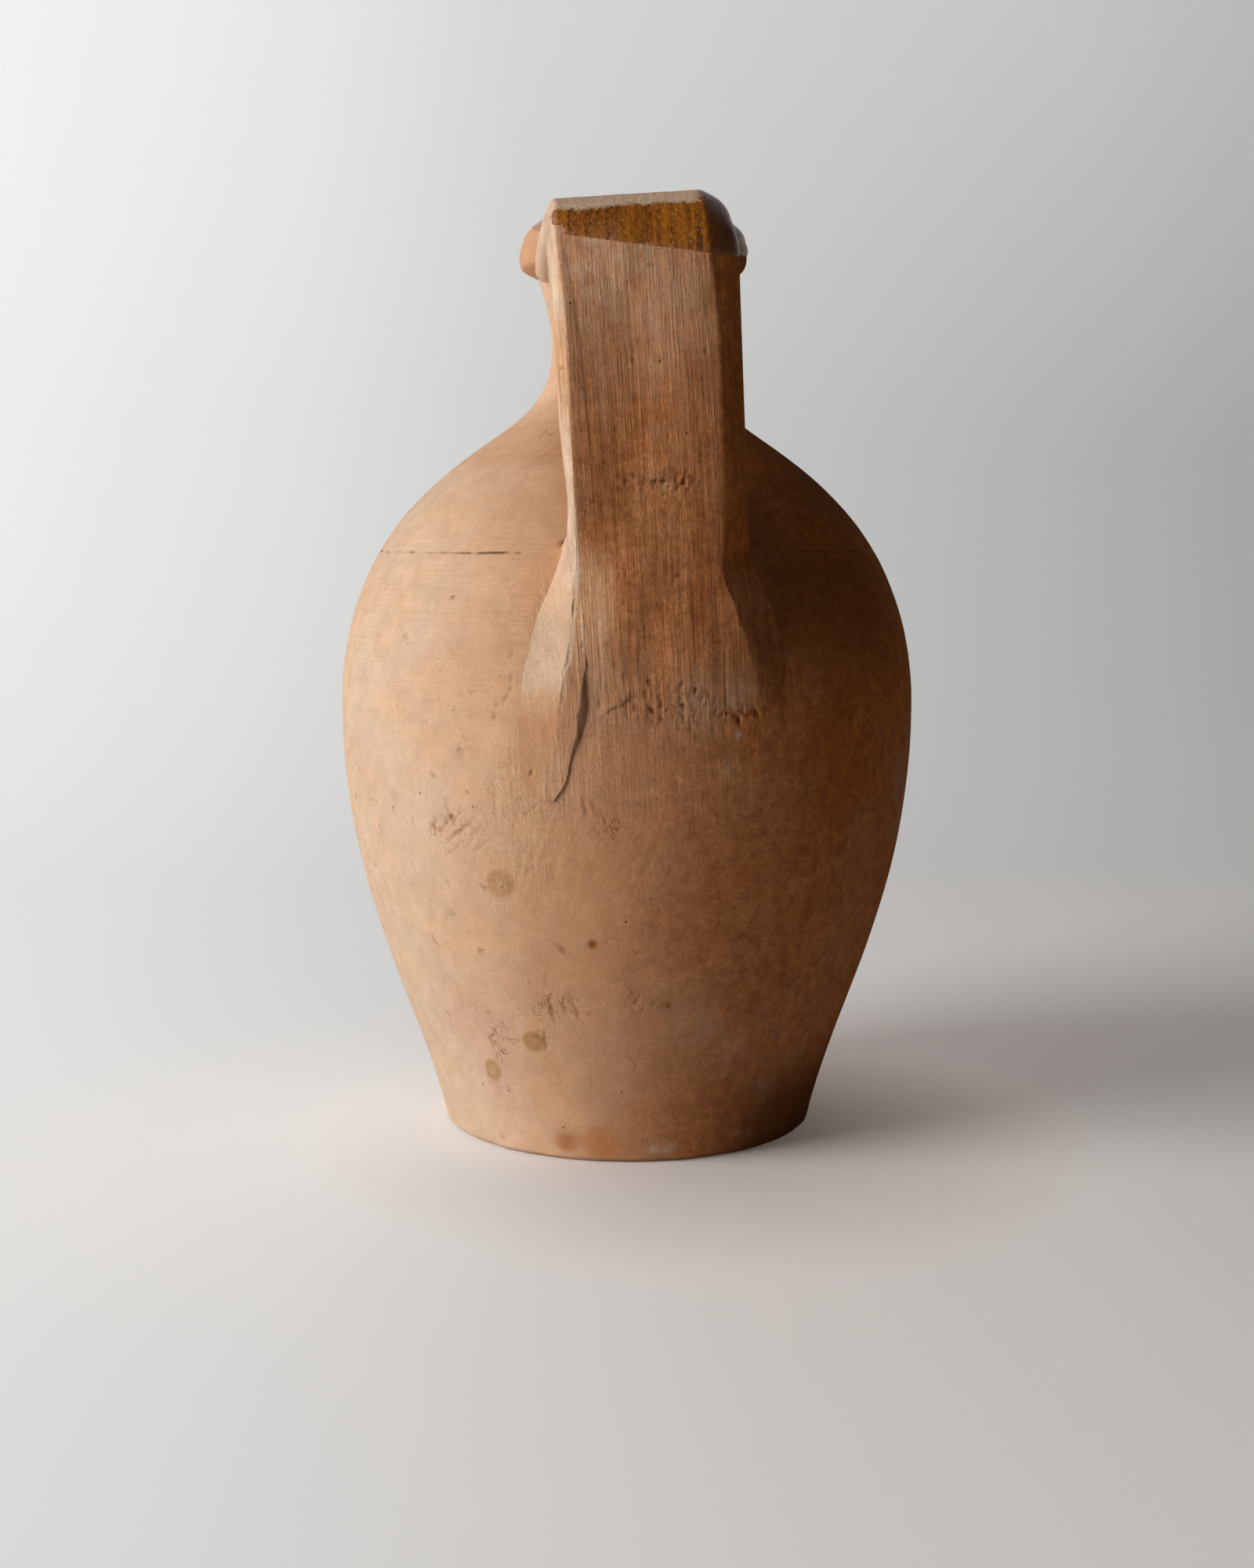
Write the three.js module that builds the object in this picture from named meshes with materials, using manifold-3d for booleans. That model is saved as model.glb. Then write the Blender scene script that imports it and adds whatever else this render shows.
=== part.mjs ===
// Terracotta jug with one strap handle: an ovoid wheel-thrown body, a narrow neck, a rolled collar rim and a
// glaze that covers the inside, the mouth and the top of the handle. Millimetres, +Z up.
// The origin is the middle of the flat base. The handle stands towards -Y.
import * as THREE from "three";
import { mergeVertices } from "three/addons/utils/BufferGeometryUtils.js";
import Module from "manifold-3d";

const wasm = await Module();
wasm.setup();

// Driving dimensions of the thrown body
const HEIGHT = 257.5; // top of the lip
const FOOT_RADIUS = 52.4;
const FOOT_CHAMFER = 1.4;
const BELLY_RADIUS = 81.1;
const BELLY_HEIGHT = 120; // where the body is widest
const SEAM_HEIGHT = 163; // where the upper half was luted onto the lower one
const SEAM_WIDTH = 1.2; // slip squeezed between the two halves
const SEAM_RECESS = 0.6;
const NECK_ROOT_HEIGHT = 200;
const THROAT_RADIUS = 21.8; // narrowest part of the neck
const THROAT_HEIGHT = 219;
const NECK_TOP_RADIUS = 26.5;
const NECK_TOP_HEIGHT = 239.5;
const COLLAR_RADIUS = 32;
const COLLAR_HEIGHT = 246; // where the collar is widest
const LIP_RADIUS = 22.8; // crown of the lip
const MOUTH_RADIUS = 20.6;
const NECK_LEAN = 2.2; // the neck leans to +X by this much at the lip
const WALL = 6;
const NECK_WALL = 5;
const FLOOR = 8;

// Driving dimensions of the handle, whose spine is the middle of its outer face
const STRAP_LEFT = 23; // from the spine to the left side
const STRAP_RIGHT = 23.3;
const STRAP_THICKNESS = 10.5;
const STRAP_BACK_CORNER = 4;
const STRAP_START = 12; // buried in the collar, measured from the body's axis
const STRAP_TOP = 250.5;
const STRAP_REACH = 84; // outer face, measured from the body's axis
const BEND_RADIUS = 14;
const LEFT_BEVEL = { across: 2.5, drop: 4 };
const RIGHT_BEVEL = { across: 6.3, drop: 7, bulge: 1.5 };
const STRAP_LEAN = Math.tan(THREE.MathUtils.degToRad(2.4)); // the foot of the strap drifts to +X
const STRAP_LEAN_HEIGHT = 205; // where the leaning strap crosses the middle plane
const STRAP_ROLL = Math.tan(THREE.MathUtils.degToRad(4)); // the right side of the bend is the higher one
const ROLL_FROM = 200;
const ROLL_FULL = 236;
const STRAP_FOOT_HEIGHT = 125; // where the strap was torn off after it was pressed on
const STRAP_FOOT_PROUD = 1.3;
const PRESSED_FROM = 172; // below this height the strap begins to follow the round of the belly
const PRESSED_AT = 134; // and from here down it is pressed round it
const ROOT_SWELL = 4; // the strap is this much thicker where it meets the belly
const SWELL_FROM = 176;
const SWELL_FULL = 158;

// The glaze: a thin coat, and the tilted plane of the bath that the mouth was dipped into
const GLAZE = 0.6;
const DIP_HEIGHT = 249.9;
const DIP_SLOPE_X = -0.11;
const DIP_SLOPE_Y = 0.15;

const GAP = 0.3; // film of slip between two pieces that were pressed together
const GLAZE_GAP = 0.05; // between a coat of glaze and the clay under it
const ROUND = 40; // facets round the body

const CLAY = { color: 0xb9794f, roughness: 0.92, metalness: 0 };
const WET_SLIP = { color: 0x8f5a3a, roughness: 0.95, metalness: 0 };
const HONEY_GLAZE = { color: 0x7a4a12, roughness: 0.18, metalness: 0 };

const point = (radius, height) => new THREE.Vector2(radius, height);

// Outer line of the body, in (radius, height)
const lowerLine = new THREE.CubicBezierCurve(
  point(FOOT_RADIUS, 0),
  point(60.8, 37),
  point(BELLY_RADIUS, 65),
  point(BELLY_RADIUS, BELLY_HEIGHT),
);
const upperLine = new THREE.CubicBezierCurve(
  point(BELLY_RADIUS, BELLY_HEIGHT),
  point(BELLY_RADIUS, 185),
  point(24.8, 195),
  point(27.5, 206),
);

// The curve's parameter at a height. The body's lines climb all the way, so halving finds it.
function parameterAt(curve, height) {
  let low = 0;
  let high = 1;
  for (let i = 0; i < 40; i++) {
    const middle = (low + high) / 2;
    if (curve.getPoint(middle).y < height) low = middle;
    else high = middle;
  }
  return (low + high) / 2;
}

function bodyRadius(height) {
  const line = height < BELLY_HEIGHT ? lowerLine : upperLine;
  return line.getPoint(parameterAt(line, height)).x;
}

const neckRoot = parameterAt(upperLine, NECK_ROOT_HEIGHT);
const shoulderEnd = upperLine.getPoint(neckRoot);
const shoulderWay = upperLine.getTangent(neckRoot);
const throatLine = new THREE.CubicBezierCurve(
  shoulderEnd,
  shoulderEnd.clone().addScaledVector(shoulderWay, 7),
  point(THROAT_RADIUS, 210),
  point(THROAT_RADIUS, THROAT_HEIGHT),
);
const flareLine = new THREE.CubicBezierCurve(
  point(THROAT_RADIUS, THROAT_HEIGHT),
  point(THROAT_RADIUS, 227),
  point(24, 233),
  point(NECK_TOP_RADIUS, NECK_TOP_HEIGHT),
);
const collarLine = new THREE.SplineCurve([
  point(NECK_TOP_RADIUS, NECK_TOP_HEIGHT),
  point(31, 241.8),
  point(COLLAR_RADIUS, COLLAR_HEIGHT),
  point(30.6, 251),
  point(26.8, 254.5),
  point(LIP_RADIUS, HEIGHT),
  point(MOUTH_RADIUS, 255.3),
]);

// A point of a curve moved along its normal: a positive offset is outwards
function setOff(curve, t, offset) {
  const way = curve.getTangent(t);
  return curve.getPoint(t).addScaledVector(point(way.y, -way.x), offset);
}

// Points of a curve between two parameters, set off from it
function stretch(curve, from, to, steps, offset = 0) {
  return Array.from({ length: steps + 1 }, (_, i) =>
    setOff(curve, THREE.MathUtils.lerp(from, to, i / steps), offset),
  );
}

// Above its root the neck leans, and all that is thrown with it or lies on it leans alike.
function leaned(geometry) {
  const places = geometry.getAttribute("position");
  for (let i = 0; i < places.count; i++) {
    const share = (places.getZ(i) - NECK_ROOT_HEIGHT) / (HEIGHT - NECK_ROOT_HEIGHT);
    places.setX(i, places.getX(i) + NECK_LEAN * Math.max(0, share));
  }
  return geometry;
}

// A closed outline turned about +Z
function turned(outline) {
  const closed = [...outline, outline[0]];
  if (THREE.ShapeUtils.isClockWise(outline)) closed.reverse();
  return leaned(new THREE.LatheGeometry(closed, ROUND).rotateX(Math.PI / 2));
}

function solid(geometry) {
  const bare = geometry.index ? geometry.toNonIndexed() : geometry.clone();
  bare.deleteAttribute("normal");
  bare.deleteAttribute("uv");
  const merged = mergeVertices(bare, 1e-4);
  const vertProperties = merged.getAttribute("position").array;
  return new wasm.Manifold(
    new wasm.Mesh({ numProp: 3, vertProperties, triVerts: new Uint32Array(merged.index.array) }),
  );
}

function geometryOf(body) {
  const mesh = body.getMesh();
  const geometry = new THREE.BufferGeometry();
  geometry.setAttribute("position", new THREE.BufferAttribute(mesh.vertProperties, 3));
  geometry.setIndex(new THREE.BufferAttribute(mesh.triVerts, 1));
  geometry.computeVertexNormals();
  return geometry;
}

// A closed skin over rings of equally many points, with a fan on the first and the last ring
function loft(rings) {
  const across = rings[0].length;
  const corners = rings.flat();
  const index = [];
  for (let ring = 0; ring < rings.length - 1; ring++) {
    for (let i = 0; i < across; i++) {
      const a = ring * across + i;
      const b = ring * across + ((i + 1) % across);
      index.push(a, b, b + across, a, b + across, a + across);
    }
  }
  [rings[0], rings.at(-1)].forEach((ring, last) => {
    const start = last ? (rings.length - 1) * across : 0;
    const middle = corners.length;
    corners.push(ring.reduce((sum, p) => sum.add(p), new THREE.Vector3()).divideScalar(across));
    for (let i = 0; i < across; i++) {
      const pair = [start + i, start + ((i + 1) % across)];
      index.push(middle, ...(last ? pair : pair.reverse()));
    }
  });
  return new THREE.BufferGeometry().setFromPoints(corners).setIndex(index);
}

const seam = parameterAt(upperLine, SEAM_HEIGHT);
const aboveSeam = seam + SEAM_WIDTH / upperLine.getLength();

// Inner line of the wall, piece by piece, from the floor to the mouth
const floorEdge = point(lowerLine.getPoint(parameterAt(lowerLine, FLOOR)).x - WALL, FLOOR);
const footInside = point(FOOT_RADIUS - WALL, 0);
const bellyInside = [
  floorEdge,
  ...stretch(lowerLine, 0.22, 1, 3, -WALL),
  ...stretch(upperLine, seam / 2, seam, 1, -WALL),
];
const shoulderInside = [
  ...stretch(upperLine, aboveSeam, neckRoot - 0.15, 2, -WALL),
  setOff(upperLine, neckRoot, -NECK_WALL),
];
const neckInside = [
  shoulderInside.at(-1),
  ...stretch(throatLine, 0.5, 1, 1, -NECK_WALL),
  ...stretch(flareLine, 0.5, 1, 1, -NECK_WALL),
];
const mouthEdge = collarLine.points.at(-1);

// A wall between its outer line and its inner line
const wall = (outside, inside) => turned([...outside, ...[...inside].reverse()]);

function baseDisc() {
  return turned([point(0, 0), footInside, floorEdge, point(0, FLOOR)]);
}

function bellyWall() {
  const foot = [point(FOOT_RADIUS - FOOT_CHAMFER, 0), lowerLine.getPoint(parameterAt(lowerLine, FOOT_CHAMFER))];
  const outside = [...foot, ...stretch(lowerLine, 0.14, 1, 6), ...stretch(upperLine, seam / 4, seam, 3)];
  return wall(outside, [footInside, ...bellyInside]);
}

function seamSlip() {
  const groove = stretch(upperLine, seam, aboveSeam, 1, -SEAM_RECESS);
  return wall(groove, [bellyInside.at(-1), shoulderInside[0]]);
}

function shoulderDome() {
  return wall(stretch(upperLine, aboveSeam, neckRoot, 5), shoulderInside);
}

function neckTube() {
  return wall([...stretch(throatLine, 0, 1, 4), ...stretch(flareLine, 0.25, 1, 3)], neckInside);
}

function collarRim() {
  return wall(collarLine.getPoints(14), [neckInside.at(-1)]);
}

// Everything inside the outer line, grown by the slip film, to cut what is pressed onto the body
function bodyWithSlip() {
  const outside = [
    ...stretch(lowerLine, 0, 1, 7, GAP),
    ...stretch(upperLine, seam / 4, neckRoot, 9, GAP),
    ...stretch(throatLine, 0.25, 1, 3, GAP),
    ...stretch(flareLine, 0.25, 1, 3, GAP),
    ...stretch(collarLine, 0.07, 0.8, 10, GAP),
  ];
  return solid(turned([point(0, 0), ...outside, point(0, HEIGHT + GAP)]));
}

// The strap's section, across and outwards from its spine: flat outside, with a narrow left bevel and a wide,
// slightly rounded right one
function strapSection(grow) {
  const left = -STRAP_LEFT - grow;
  const right = STRAP_RIGHT + grow;
  const back = -STRAP_THICKNESS - grow;
  const rightFacet = point(right - RIGHT_BEVEL.across / 2, -RIGHT_BEVEL.drop / 2).addScalar(RIGHT_BEVEL.bulge);
  return new THREE.Shape()
    .moveTo(left, -LEFT_BEVEL.drop)
    .lineTo(left, back + STRAP_BACK_CORNER)
    .quadraticCurveTo(left, back, left + STRAP_BACK_CORNER, back)
    .lineTo(right - STRAP_BACK_CORNER, back)
    .quadraticCurveTo(right, back, right, -RIGHT_BEVEL.drop)
    .quadraticCurveTo(rightFacet.x, rightFacet.y, right - RIGHT_BEVEL.across, grow)
    .lineTo(0, grow)
    .lineTo(left + LEFT_BEVEL.across, grow)
    .getPoints(3);
}

// The spine of the strap in (radius, height): out from the collar, round the bend and down onto the belly
function strapSpine() {
  const straightEnd = STRAP_REACH - BEND_RADIUS;
  const bendFoot = STRAP_TOP - BEND_RADIUS;
  const footReach = bodyRadius(STRAP_FOOT_HEIGHT) + STRAP_FOOT_PROUD;
  const run = new THREE.Path([point(STRAP_START, STRAP_TOP - 2), point(45, STRAP_TOP - 0.5)]);
  run.lineTo(straightEnd, STRAP_TOP);
  run.absarc(straightEnd, bendFoot, BEND_RADIUS, Math.PI / 2, 0, true);
  run.bezierCurveTo(STRAP_REACH + 1.5, 215, STRAP_REACH + 1.5, 185, STRAP_REACH, 166);
  run.bezierCurveTo(STRAP_REACH - 1, 150, footReach + 0.5, 138, footReach, STRAP_FOOT_HEIGHT);
  return run;
}

const strapDrift = (height) => STRAP_LEAN * (STRAP_LEAN_HEIGHT - height);
const strapRoll = (height) => STRAP_ROLL * THREE.MathUtils.smoothstep(height, ROLL_FROM, ROLL_FULL);

// How far a strap that is pressed round the belly falls back at a distance from the middle plane
function pressedBack(x, height) {
  const pressed = 1 - THREE.MathUtils.smoothstep(height, PRESSED_AT, PRESSED_FROM);
  if (pressed === 0) return 0;
  const radius = bodyRadius(height);
  return pressed * (radius - Math.sqrt(radius ** 2 - x ** 2));
}

// How much thicker than its run the strap is at a height. The swelling is all on its inner side.
function rootSwell(height) {
  return ROOT_SWELL * (1 - THREE.MathUtils.smoothstep(height, SWELL_FULL, SWELL_FROM));
}

function strapSolid(grow) {
  const section = strapSection(grow);
  const steps = [1, 2, 6, 6, 6]; // for each stretch of the spine
  const stations = strapSpine().curves.flatMap((curve, number) => {
    const shares = Array.from({ length: steps[number] + 1 }, (_, i) => i / steps[number]);
    const fresh = number === 0 ? shares : shares.slice(1); // a stretch starts where the last one ended
    return fresh.map((share) => ({ at: curve.getPointAt(share), way: curve.getTangentAt(share) }));
  });
  const rings = stations.map(({ at, way }) =>
    section.map((p) => {
      const x = p.x + strapDrift(at.y);
      const out = p.y < -RIGHT_BEVEL.drop ? p.y - rootSwell(at.y) : p.y;
      const reach = at.x - way.y * out - pressedBack(x, at.y);
      return new THREE.Vector3(x, -reach, at.y + way.x * out + strapRoll(at.y) * p.x);
    }),
  );
  return solid(loft(rings));
}

// A wad of clay smeared along one side of the strap's root. Each station gives its height, the crest beside the
// strap, how far the crest stands off the body, and the foot where the smear runs out. The crest and the foot
// are measured across from the strap's spine.
const LEFT_SMEAR = [
  { height: 172, crest: -18, proud: 1, foot: -22 },
  { height: 162, crest: -17.5, proud: 8, foot: -25.4 },
  { height: 150, crest: -17.8, proud: 7.4, foot: -29.6 },
  { height: 135, crest: -18.5, proud: 3.6, foot: -33 },
  { height: 121, crest: -20, proud: 3, foot: -33 },
  { height: 111, crest: -24.5, proud: 2.2, foot: -31 },
  { height: 103, crest: -27.2, proud: 0.8, foot: -28.4 },
];
const RIGHT_SMEAR = [
  { height: 174, crest: 17, proud: 1, foot: 21 },
  { height: 164, crest: 16, proud: 8, foot: 25 },
  { height: 154, crest: 15, proud: 8.2, foot: 29 },
  { height: 143, crest: 15.5, proud: 4.6, foot: 32.5 },
  { height: 131, crest: 18, proud: 2.4, foot: 33 },
  { height: 120, crest: 22, proud: 1.6, foot: 31 },
  { height: 112, crest: 25, proud: 0.7, foot: 27 },
];

function smearSolid(stations) {
  const rounds = 14; // from the top of the smear to its tip
  const steps = 4; // from the crest to the foot
  const buried = 3;
  const line = (key) => new THREE.SplineCurve(stations.map((station) => point(station[key], station.height)));
  const [crestLine, proudLine, footLine] = ["crest", "proud", "foot"].map(line);
  const rings = Array.from({ length: rounds + 1 }, (_, i) => {
    const { x: crest, y: height } = crestLine.getPoint(i / rounds);
    const { x: proud } = proudLine.getPoint(i / rounds);
    const { x: foot } = footLine.getPoint(i / rounds);
    const radius = bodyRadius(height);
    const place = (share, off) => {
      const angle = Math.asin((THREE.MathUtils.lerp(crest, foot, share) + strapDrift(height)) / radius);
      return new THREE.Vector3((radius + off) * Math.sin(angle), -(radius + off) * Math.cos(angle), height);
    };
    const top = Array.from({ length: steps + 1 }, (_, j) => place(j / steps, proud * (1 - j / steps) ** 1.3));
    return [...top, place(1, -buried), place(0, -buried)];
  });
  const leftSide = stations[0].foot < 0;
  return solid(loft(leftSide ? rings : rings.map((ring) => ring.reverse())));
}

// All that lies above the tilted surface of the glaze bath
function aboveTheDip() {
  const size = 600;
  const up = new THREE.Vector3(-DIP_SLOPE_X, -DIP_SLOPE_Y, 1).normalize();
  const turn = new THREE.Quaternion().setFromUnitVectors(new THREE.Vector3(0, 0, 1), up);
  const bath = new THREE.BoxGeometry(size, size, size).translate(0, 0, size / 2);
  return solid(bath.applyQuaternion(turn).translate(0, 0, DIP_HEIGHT));
}

const body = bodyWithSlip();
const dipped = aboveTheDip();
const strap = strapSolid(0).subtract(body);
const strapWithSlip = strapSolid(GAP);

// What the strap leaves of a smear. Crumbs that it cuts off are left out.
function smear(stations) {
  const pieces = smearSolid(stations).subtract(body).subtract(strapWithSlip).decompose();
  return geometryOf(pieces.reduce((most, piece) => (piece.volume() > most.volume() ? piece : most)));
}

// The lining from the middle of the floor to the mouth, drawn in from the wall and down from the shoulder
function liningLine(inset) {
  const line = [...bellyInside.slice(1), ...shoulderInside, ...neckInside.slice(1), mouthEdge];
  const floor = FLOOR + inset;
  const down = 0.4 * inset;
  return [
    point(0, floor),
    point(floorEdge.x - inset, floor),
    ...line.map((p) => point(p.x - inset, p.y - down)),
  ];
}

function innerGlaze() {
  return wall(liningLine(GLAZE_GAP), liningLine(GLAZE_GAP + GLAZE));
}

function rimGlaze() {
  const coat = wall(
    stretch(collarLine, 0, 1, 14, GLAZE_GAP + GLAZE),
    stretch(collarLine, 0, 1, 14, GLAZE_GAP),
  );
  return geometryOf(solid(coat).intersect(dipped).subtract(strapSolid(GLAZE + GAP)));
}

function handleGlaze() {
  const glazedCollar = [point(0, 0), ...stretch(collarLine, 0, 0.9, 12, GLAZE + GAP), point(0, HEIGHT)];
  const coat = strapSolid(GLAZE_GAP + GLAZE).subtract(strapSolid(GLAZE_GAP));
  return geometryOf(coat.intersect(dipped).subtract(solid(turned(glazedCollar))).subtract(body));
}

function named(name, geometry, finish) {
  const mesh = new THREE.Mesh(geometry, new THREE.MeshStandardMaterial(finish));
  mesh.name = name;
  return mesh;
}

const jug = new THREE.Group();
jug.add(
  named("base_disc", baseDisc(), CLAY),
  named("belly_wall", bellyWall(), CLAY),
  named("seam_slip", seamSlip(), WET_SLIP),
  named("shoulder_dome", shoulderDome(), CLAY),
  named("neck_tube", neckTube(), CLAY),
  named("collar_rim", collarRim(), CLAY),
  named("strap_handle", geometryOf(strap), CLAY),
  named("root_smear_left", smear(LEFT_SMEAR), CLAY),
  named("root_smear_right", smear(RIGHT_SMEAR), CLAY),
  named("inner_glaze", innerGlaze(), HONEY_GLAZE),
  named("rim_glaze", rimGlaze(), HONEY_GLAZE),
  named("handle_glaze", handleGlaze(), HONEY_GLAZE),
);

export default jug;
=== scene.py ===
"""The looks of a terracotta jug with one strap handle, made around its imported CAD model.

Lengths are millimetres in the CAD frame until a mesh is made: +Z is up and the handle stands towards -Y.
A place on the body is a bearing, in degrees from -Y towards +X, and a height. A place on the strap is a
distance across, to the right of the middle of its outer face, and a height.
"""

import math

import bpy
import numpy as np
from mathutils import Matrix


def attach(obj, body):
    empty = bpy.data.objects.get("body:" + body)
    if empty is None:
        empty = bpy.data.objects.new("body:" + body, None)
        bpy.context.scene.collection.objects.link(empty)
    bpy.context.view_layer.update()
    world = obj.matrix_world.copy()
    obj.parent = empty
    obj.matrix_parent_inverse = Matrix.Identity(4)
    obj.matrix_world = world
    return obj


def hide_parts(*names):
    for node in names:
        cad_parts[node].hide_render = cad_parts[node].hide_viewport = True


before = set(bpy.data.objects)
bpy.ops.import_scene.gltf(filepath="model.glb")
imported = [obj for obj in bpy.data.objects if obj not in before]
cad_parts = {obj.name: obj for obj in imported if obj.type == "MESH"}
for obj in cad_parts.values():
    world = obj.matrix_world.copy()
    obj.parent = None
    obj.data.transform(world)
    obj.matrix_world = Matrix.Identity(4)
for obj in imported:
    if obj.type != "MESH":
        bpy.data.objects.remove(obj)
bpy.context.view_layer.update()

MM = 0.001
SHARP_ANGLE = 55

# Thrown body, as in the CAD model
HEIGHT = 257.5
FOOT_RADIUS = 52.4
FOOT_CHAMFER = 1.4
BELLY_RADIUS = 81.1
BELLY_HEIGHT = 120
SEAM_HEIGHT = 163
SEAM_WIDTH = 1.1
NECK_ROOT_HEIGHT = 200
THROAT_RADIUS = 21.8
THROAT_HEIGHT = 219
NECK_TOP_RADIUS = 26.5
NECK_TOP_HEIGHT = 239.5
COLLAR_LINE = [
    (NECK_TOP_RADIUS, NECK_TOP_HEIGHT),
    (31, 241.8),
    (32, 246),
    (30.6, 251),
    (26.8, 254.5),
    (22.8, HEIGHT),
    (20.6, 255.3),
]
NECK_LEAN = 2.2
WALL = 6
NECK_WALL = 5
FLOOR = 8

# Strap handle, as in the CAD model
STRAP_LEFT = 23
STRAP_RIGHT = 23.3
STRAP_THICKNESS = 10.5
STRAP_START = 12
STRAP_CLEAR = 45
STRAP_TOP = 250.5
STRAP_REACH = 84
BEND_RADIUS = 14
CROWN_RISE = 0.8
LEFT_BEVEL = (2.5, 4)
RIGHT_BEVEL = (6.3, 7)
RIGHT_BULGE = 1.5
BACK_CORNER = 4
STRAP_LEAN = math.tan(math.radians(2.4))
STRAP_LEAN_HEIGHT = 205
STRAP_ROLL = math.tan(math.radians(4))
ROLL_FROM = 200
ROLL_FULL = 236
STRAP_FOOT_HEIGHT = 125
STRAP_FOOT_PROUD = 1.3
STRAP_TAIL_HEIGHT = 112
PRESSED_FROM = (180, 172)
PRESSED_AT = (145, 134)
ROOT_SWELL = 4
SWELL_FROM = 176
SWELL_FULL = 158

# Glaze: the tilted surface of the bath that the mouth was dipped into
GLAZE = 0.3
GLAZE_EDGE = 0.04
GLAZE_SUNK = 0.15
DIP_HEIGHT = 249.9
DIP_SLOPE_X = -0.11
DIP_SLOPE_Y = 0.15

# Camera, fitted to the outline in the photograph, whose frame is 1600 by 2000
CAMERA_REACH = 598
CAMERA_HEIGHT = 166.4
CAMERA_BEARING = -4.2
CAMERA_TILT = 6.65
CAMERA_LENS = 47.84
SENSOR = 36


def lerp(a, b, share):
    return a + (b - a) * share


def ease(x, low, high):
    """A smooth step from 0 at low to 1 at high, which may lie below it."""
    share = np.clip((x - low) / (high - low), 0, 1)
    return share * share * (3 - 2 * share)


def bump(x, middle, width):
    return np.exp(-(((x - middle) / width) ** 2))


def band(x, start, low, high, end):
    """1 from low to high, and 0 before the start and after the end."""
    return ease(x, start, low) * ease(x, end, high)


def bezier(points, count):
    """Points along a cubic Bezier curve."""
    a, b, c, d = np.array(points, float)
    t = np.linspace(0, 1, count)[:, None]
    return (1 - t) ** 3 * a + 3 * (1 - t) ** 2 * t * b + 3 * (1 - t) * t**2 * c + t**3 * d


def spline(points, t):
    """Points of a uniform Catmull-Rom spline at parameters from 0 to 1."""
    points = np.array(points, float)
    last = len(points) - 1
    place = np.clip(np.asarray(t, float), 0, 1) * last
    start = np.minimum(np.floor(place).astype(int), last - 1)
    w = (place - start)[..., None]
    p0, p1, p2, p3 = (points[np.clip(start + i, 0, last)] for i in (-1, 0, 1, 2))
    m1, m2 = (p2 - p0) / 2, (p3 - p1) / 2
    return (
        (2 * p1 - 2 * p2 + m1 + m2) * w**3
        + (-3 * p1 + 3 * p2 - 2 * m1 - m2) * w**2
        + m1 * w
        + p1
    )


def curve_through(stations, height):
    """Smooth values at a height, through stations (height, value, ...) listed from the top down."""
    stations = np.array(stations, float)
    dense = spline(stations, np.linspace(0, 1, 400))[::-1]
    return [np.interp(height, dense[:, 0], dense[:, i]) for i in range(1, stations.shape[1])]


def unit(ways):
    return ways / np.linalg.norm(ways, axis=-1, keepdims=True)


def along(line):
    """Distance along a line of points, from its start."""
    return np.concatenate([[0], np.cumsum(np.linalg.norm(np.diff(line, axis=0), axis=1))])


def point_at(distance, run, line):
    """Points of a line at values of what runs along it."""
    return np.stack([np.interp(distance, run, line[:, i]) for i in (0, 1)], -1)


def noise(a, b, seed, around=256):
    """A smooth random field from -1 to 1 with bumps one unit wide, which repeats in a after so many units."""
    table = np.random.default_rng(seed).uniform(-1, 1, (around, 256))
    a, b = np.broadcast_arrays(np.asarray(a, float), np.asarray(b, float))
    a0, b0 = np.floor(a).astype(int), np.floor(b).astype(int)
    wa, wb = (w * w * (3 - 2 * w) for w in (a - a0, b - b0))
    low = lerp(table[a0 % around, b0 % 256], table[(a0 + 1) % around, b0 % 256], wa)
    high = lerp(table[a0 % around, (b0 + 1) % 256], table[(a0 + 1) % around, (b0 + 1) % 256], wa)
    return lerp(low, high, wb)


def turn_noise(phi, b, seed, around):
    """Noise with so many bumps round the jug."""
    return noise(phi / (2 * math.pi) * around, b, seed, around)


def round_noise(phi, z, wide, tall, seed):
    """Noise on the body with bumps of about this width and height, unbroken round the back."""
    around = max(2, round(2 * math.pi * BELLY_RADIUS / wide))
    return turn_noise(phi, z / tall, seed, around)


def cloud(phi, z, size, seed):
    """Three octaves of noise on the body."""
    parts = [round_noise(phi, z, size / 2**i, size / 2**i, seed + i) / 2**i for i in range(3)]
    return sum(parts) / 1.75


# The outer line of the body up to the collar, in (radius, height)
lower_line = bezier([(FOOT_RADIUS, 0), (60.8, 37), (BELLY_RADIUS, 65), (BELLY_RADIUS, BELLY_HEIGHT)], 300)
upper_line = bezier([(BELLY_RADIUS, BELLY_HEIGHT), (BELLY_RADIUS, 185), (24.8, 195), (27.5, 206)], 400)
upper_line = upper_line[upper_line[:, 1] <= NECK_ROOT_HEIGHT]
shoulder_way = unit(upper_line[-1] - upper_line[-2])
neck_root = upper_line[-1]
throat = (THROAT_RADIUS, THROAT_HEIGHT)
throat_line = bezier([neck_root, neck_root + 7 * shoulder_way, (THROAT_RADIUS, 210), throat], 80)
flare_line = bezier([throat, (THROAT_RADIUS, 227), (24, 233), (NECK_TOP_RADIUS, NECK_TOP_HEIGHT)], 80)
OUTLINE = np.vstack([lower_line, upper_line[1:], throat_line[1:], flare_line[1:]])
OUTLINE_RUN = along(OUTLINE)


def wall_radius(z):
    return np.interp(z, OUTLINE[:, 1], OUTLINE[:, 0])


def wall_slope(z):
    """How fast the radius grows with the height."""
    return wall_radius(z + 0.5) - wall_radius(z - 0.5)


def lean(z):
    return NECK_LEAN * np.maximum(0, (z - NECK_ROOT_HEIGHT) / (HEIGHT - NECK_ROOT_HEIGHT))


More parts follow.
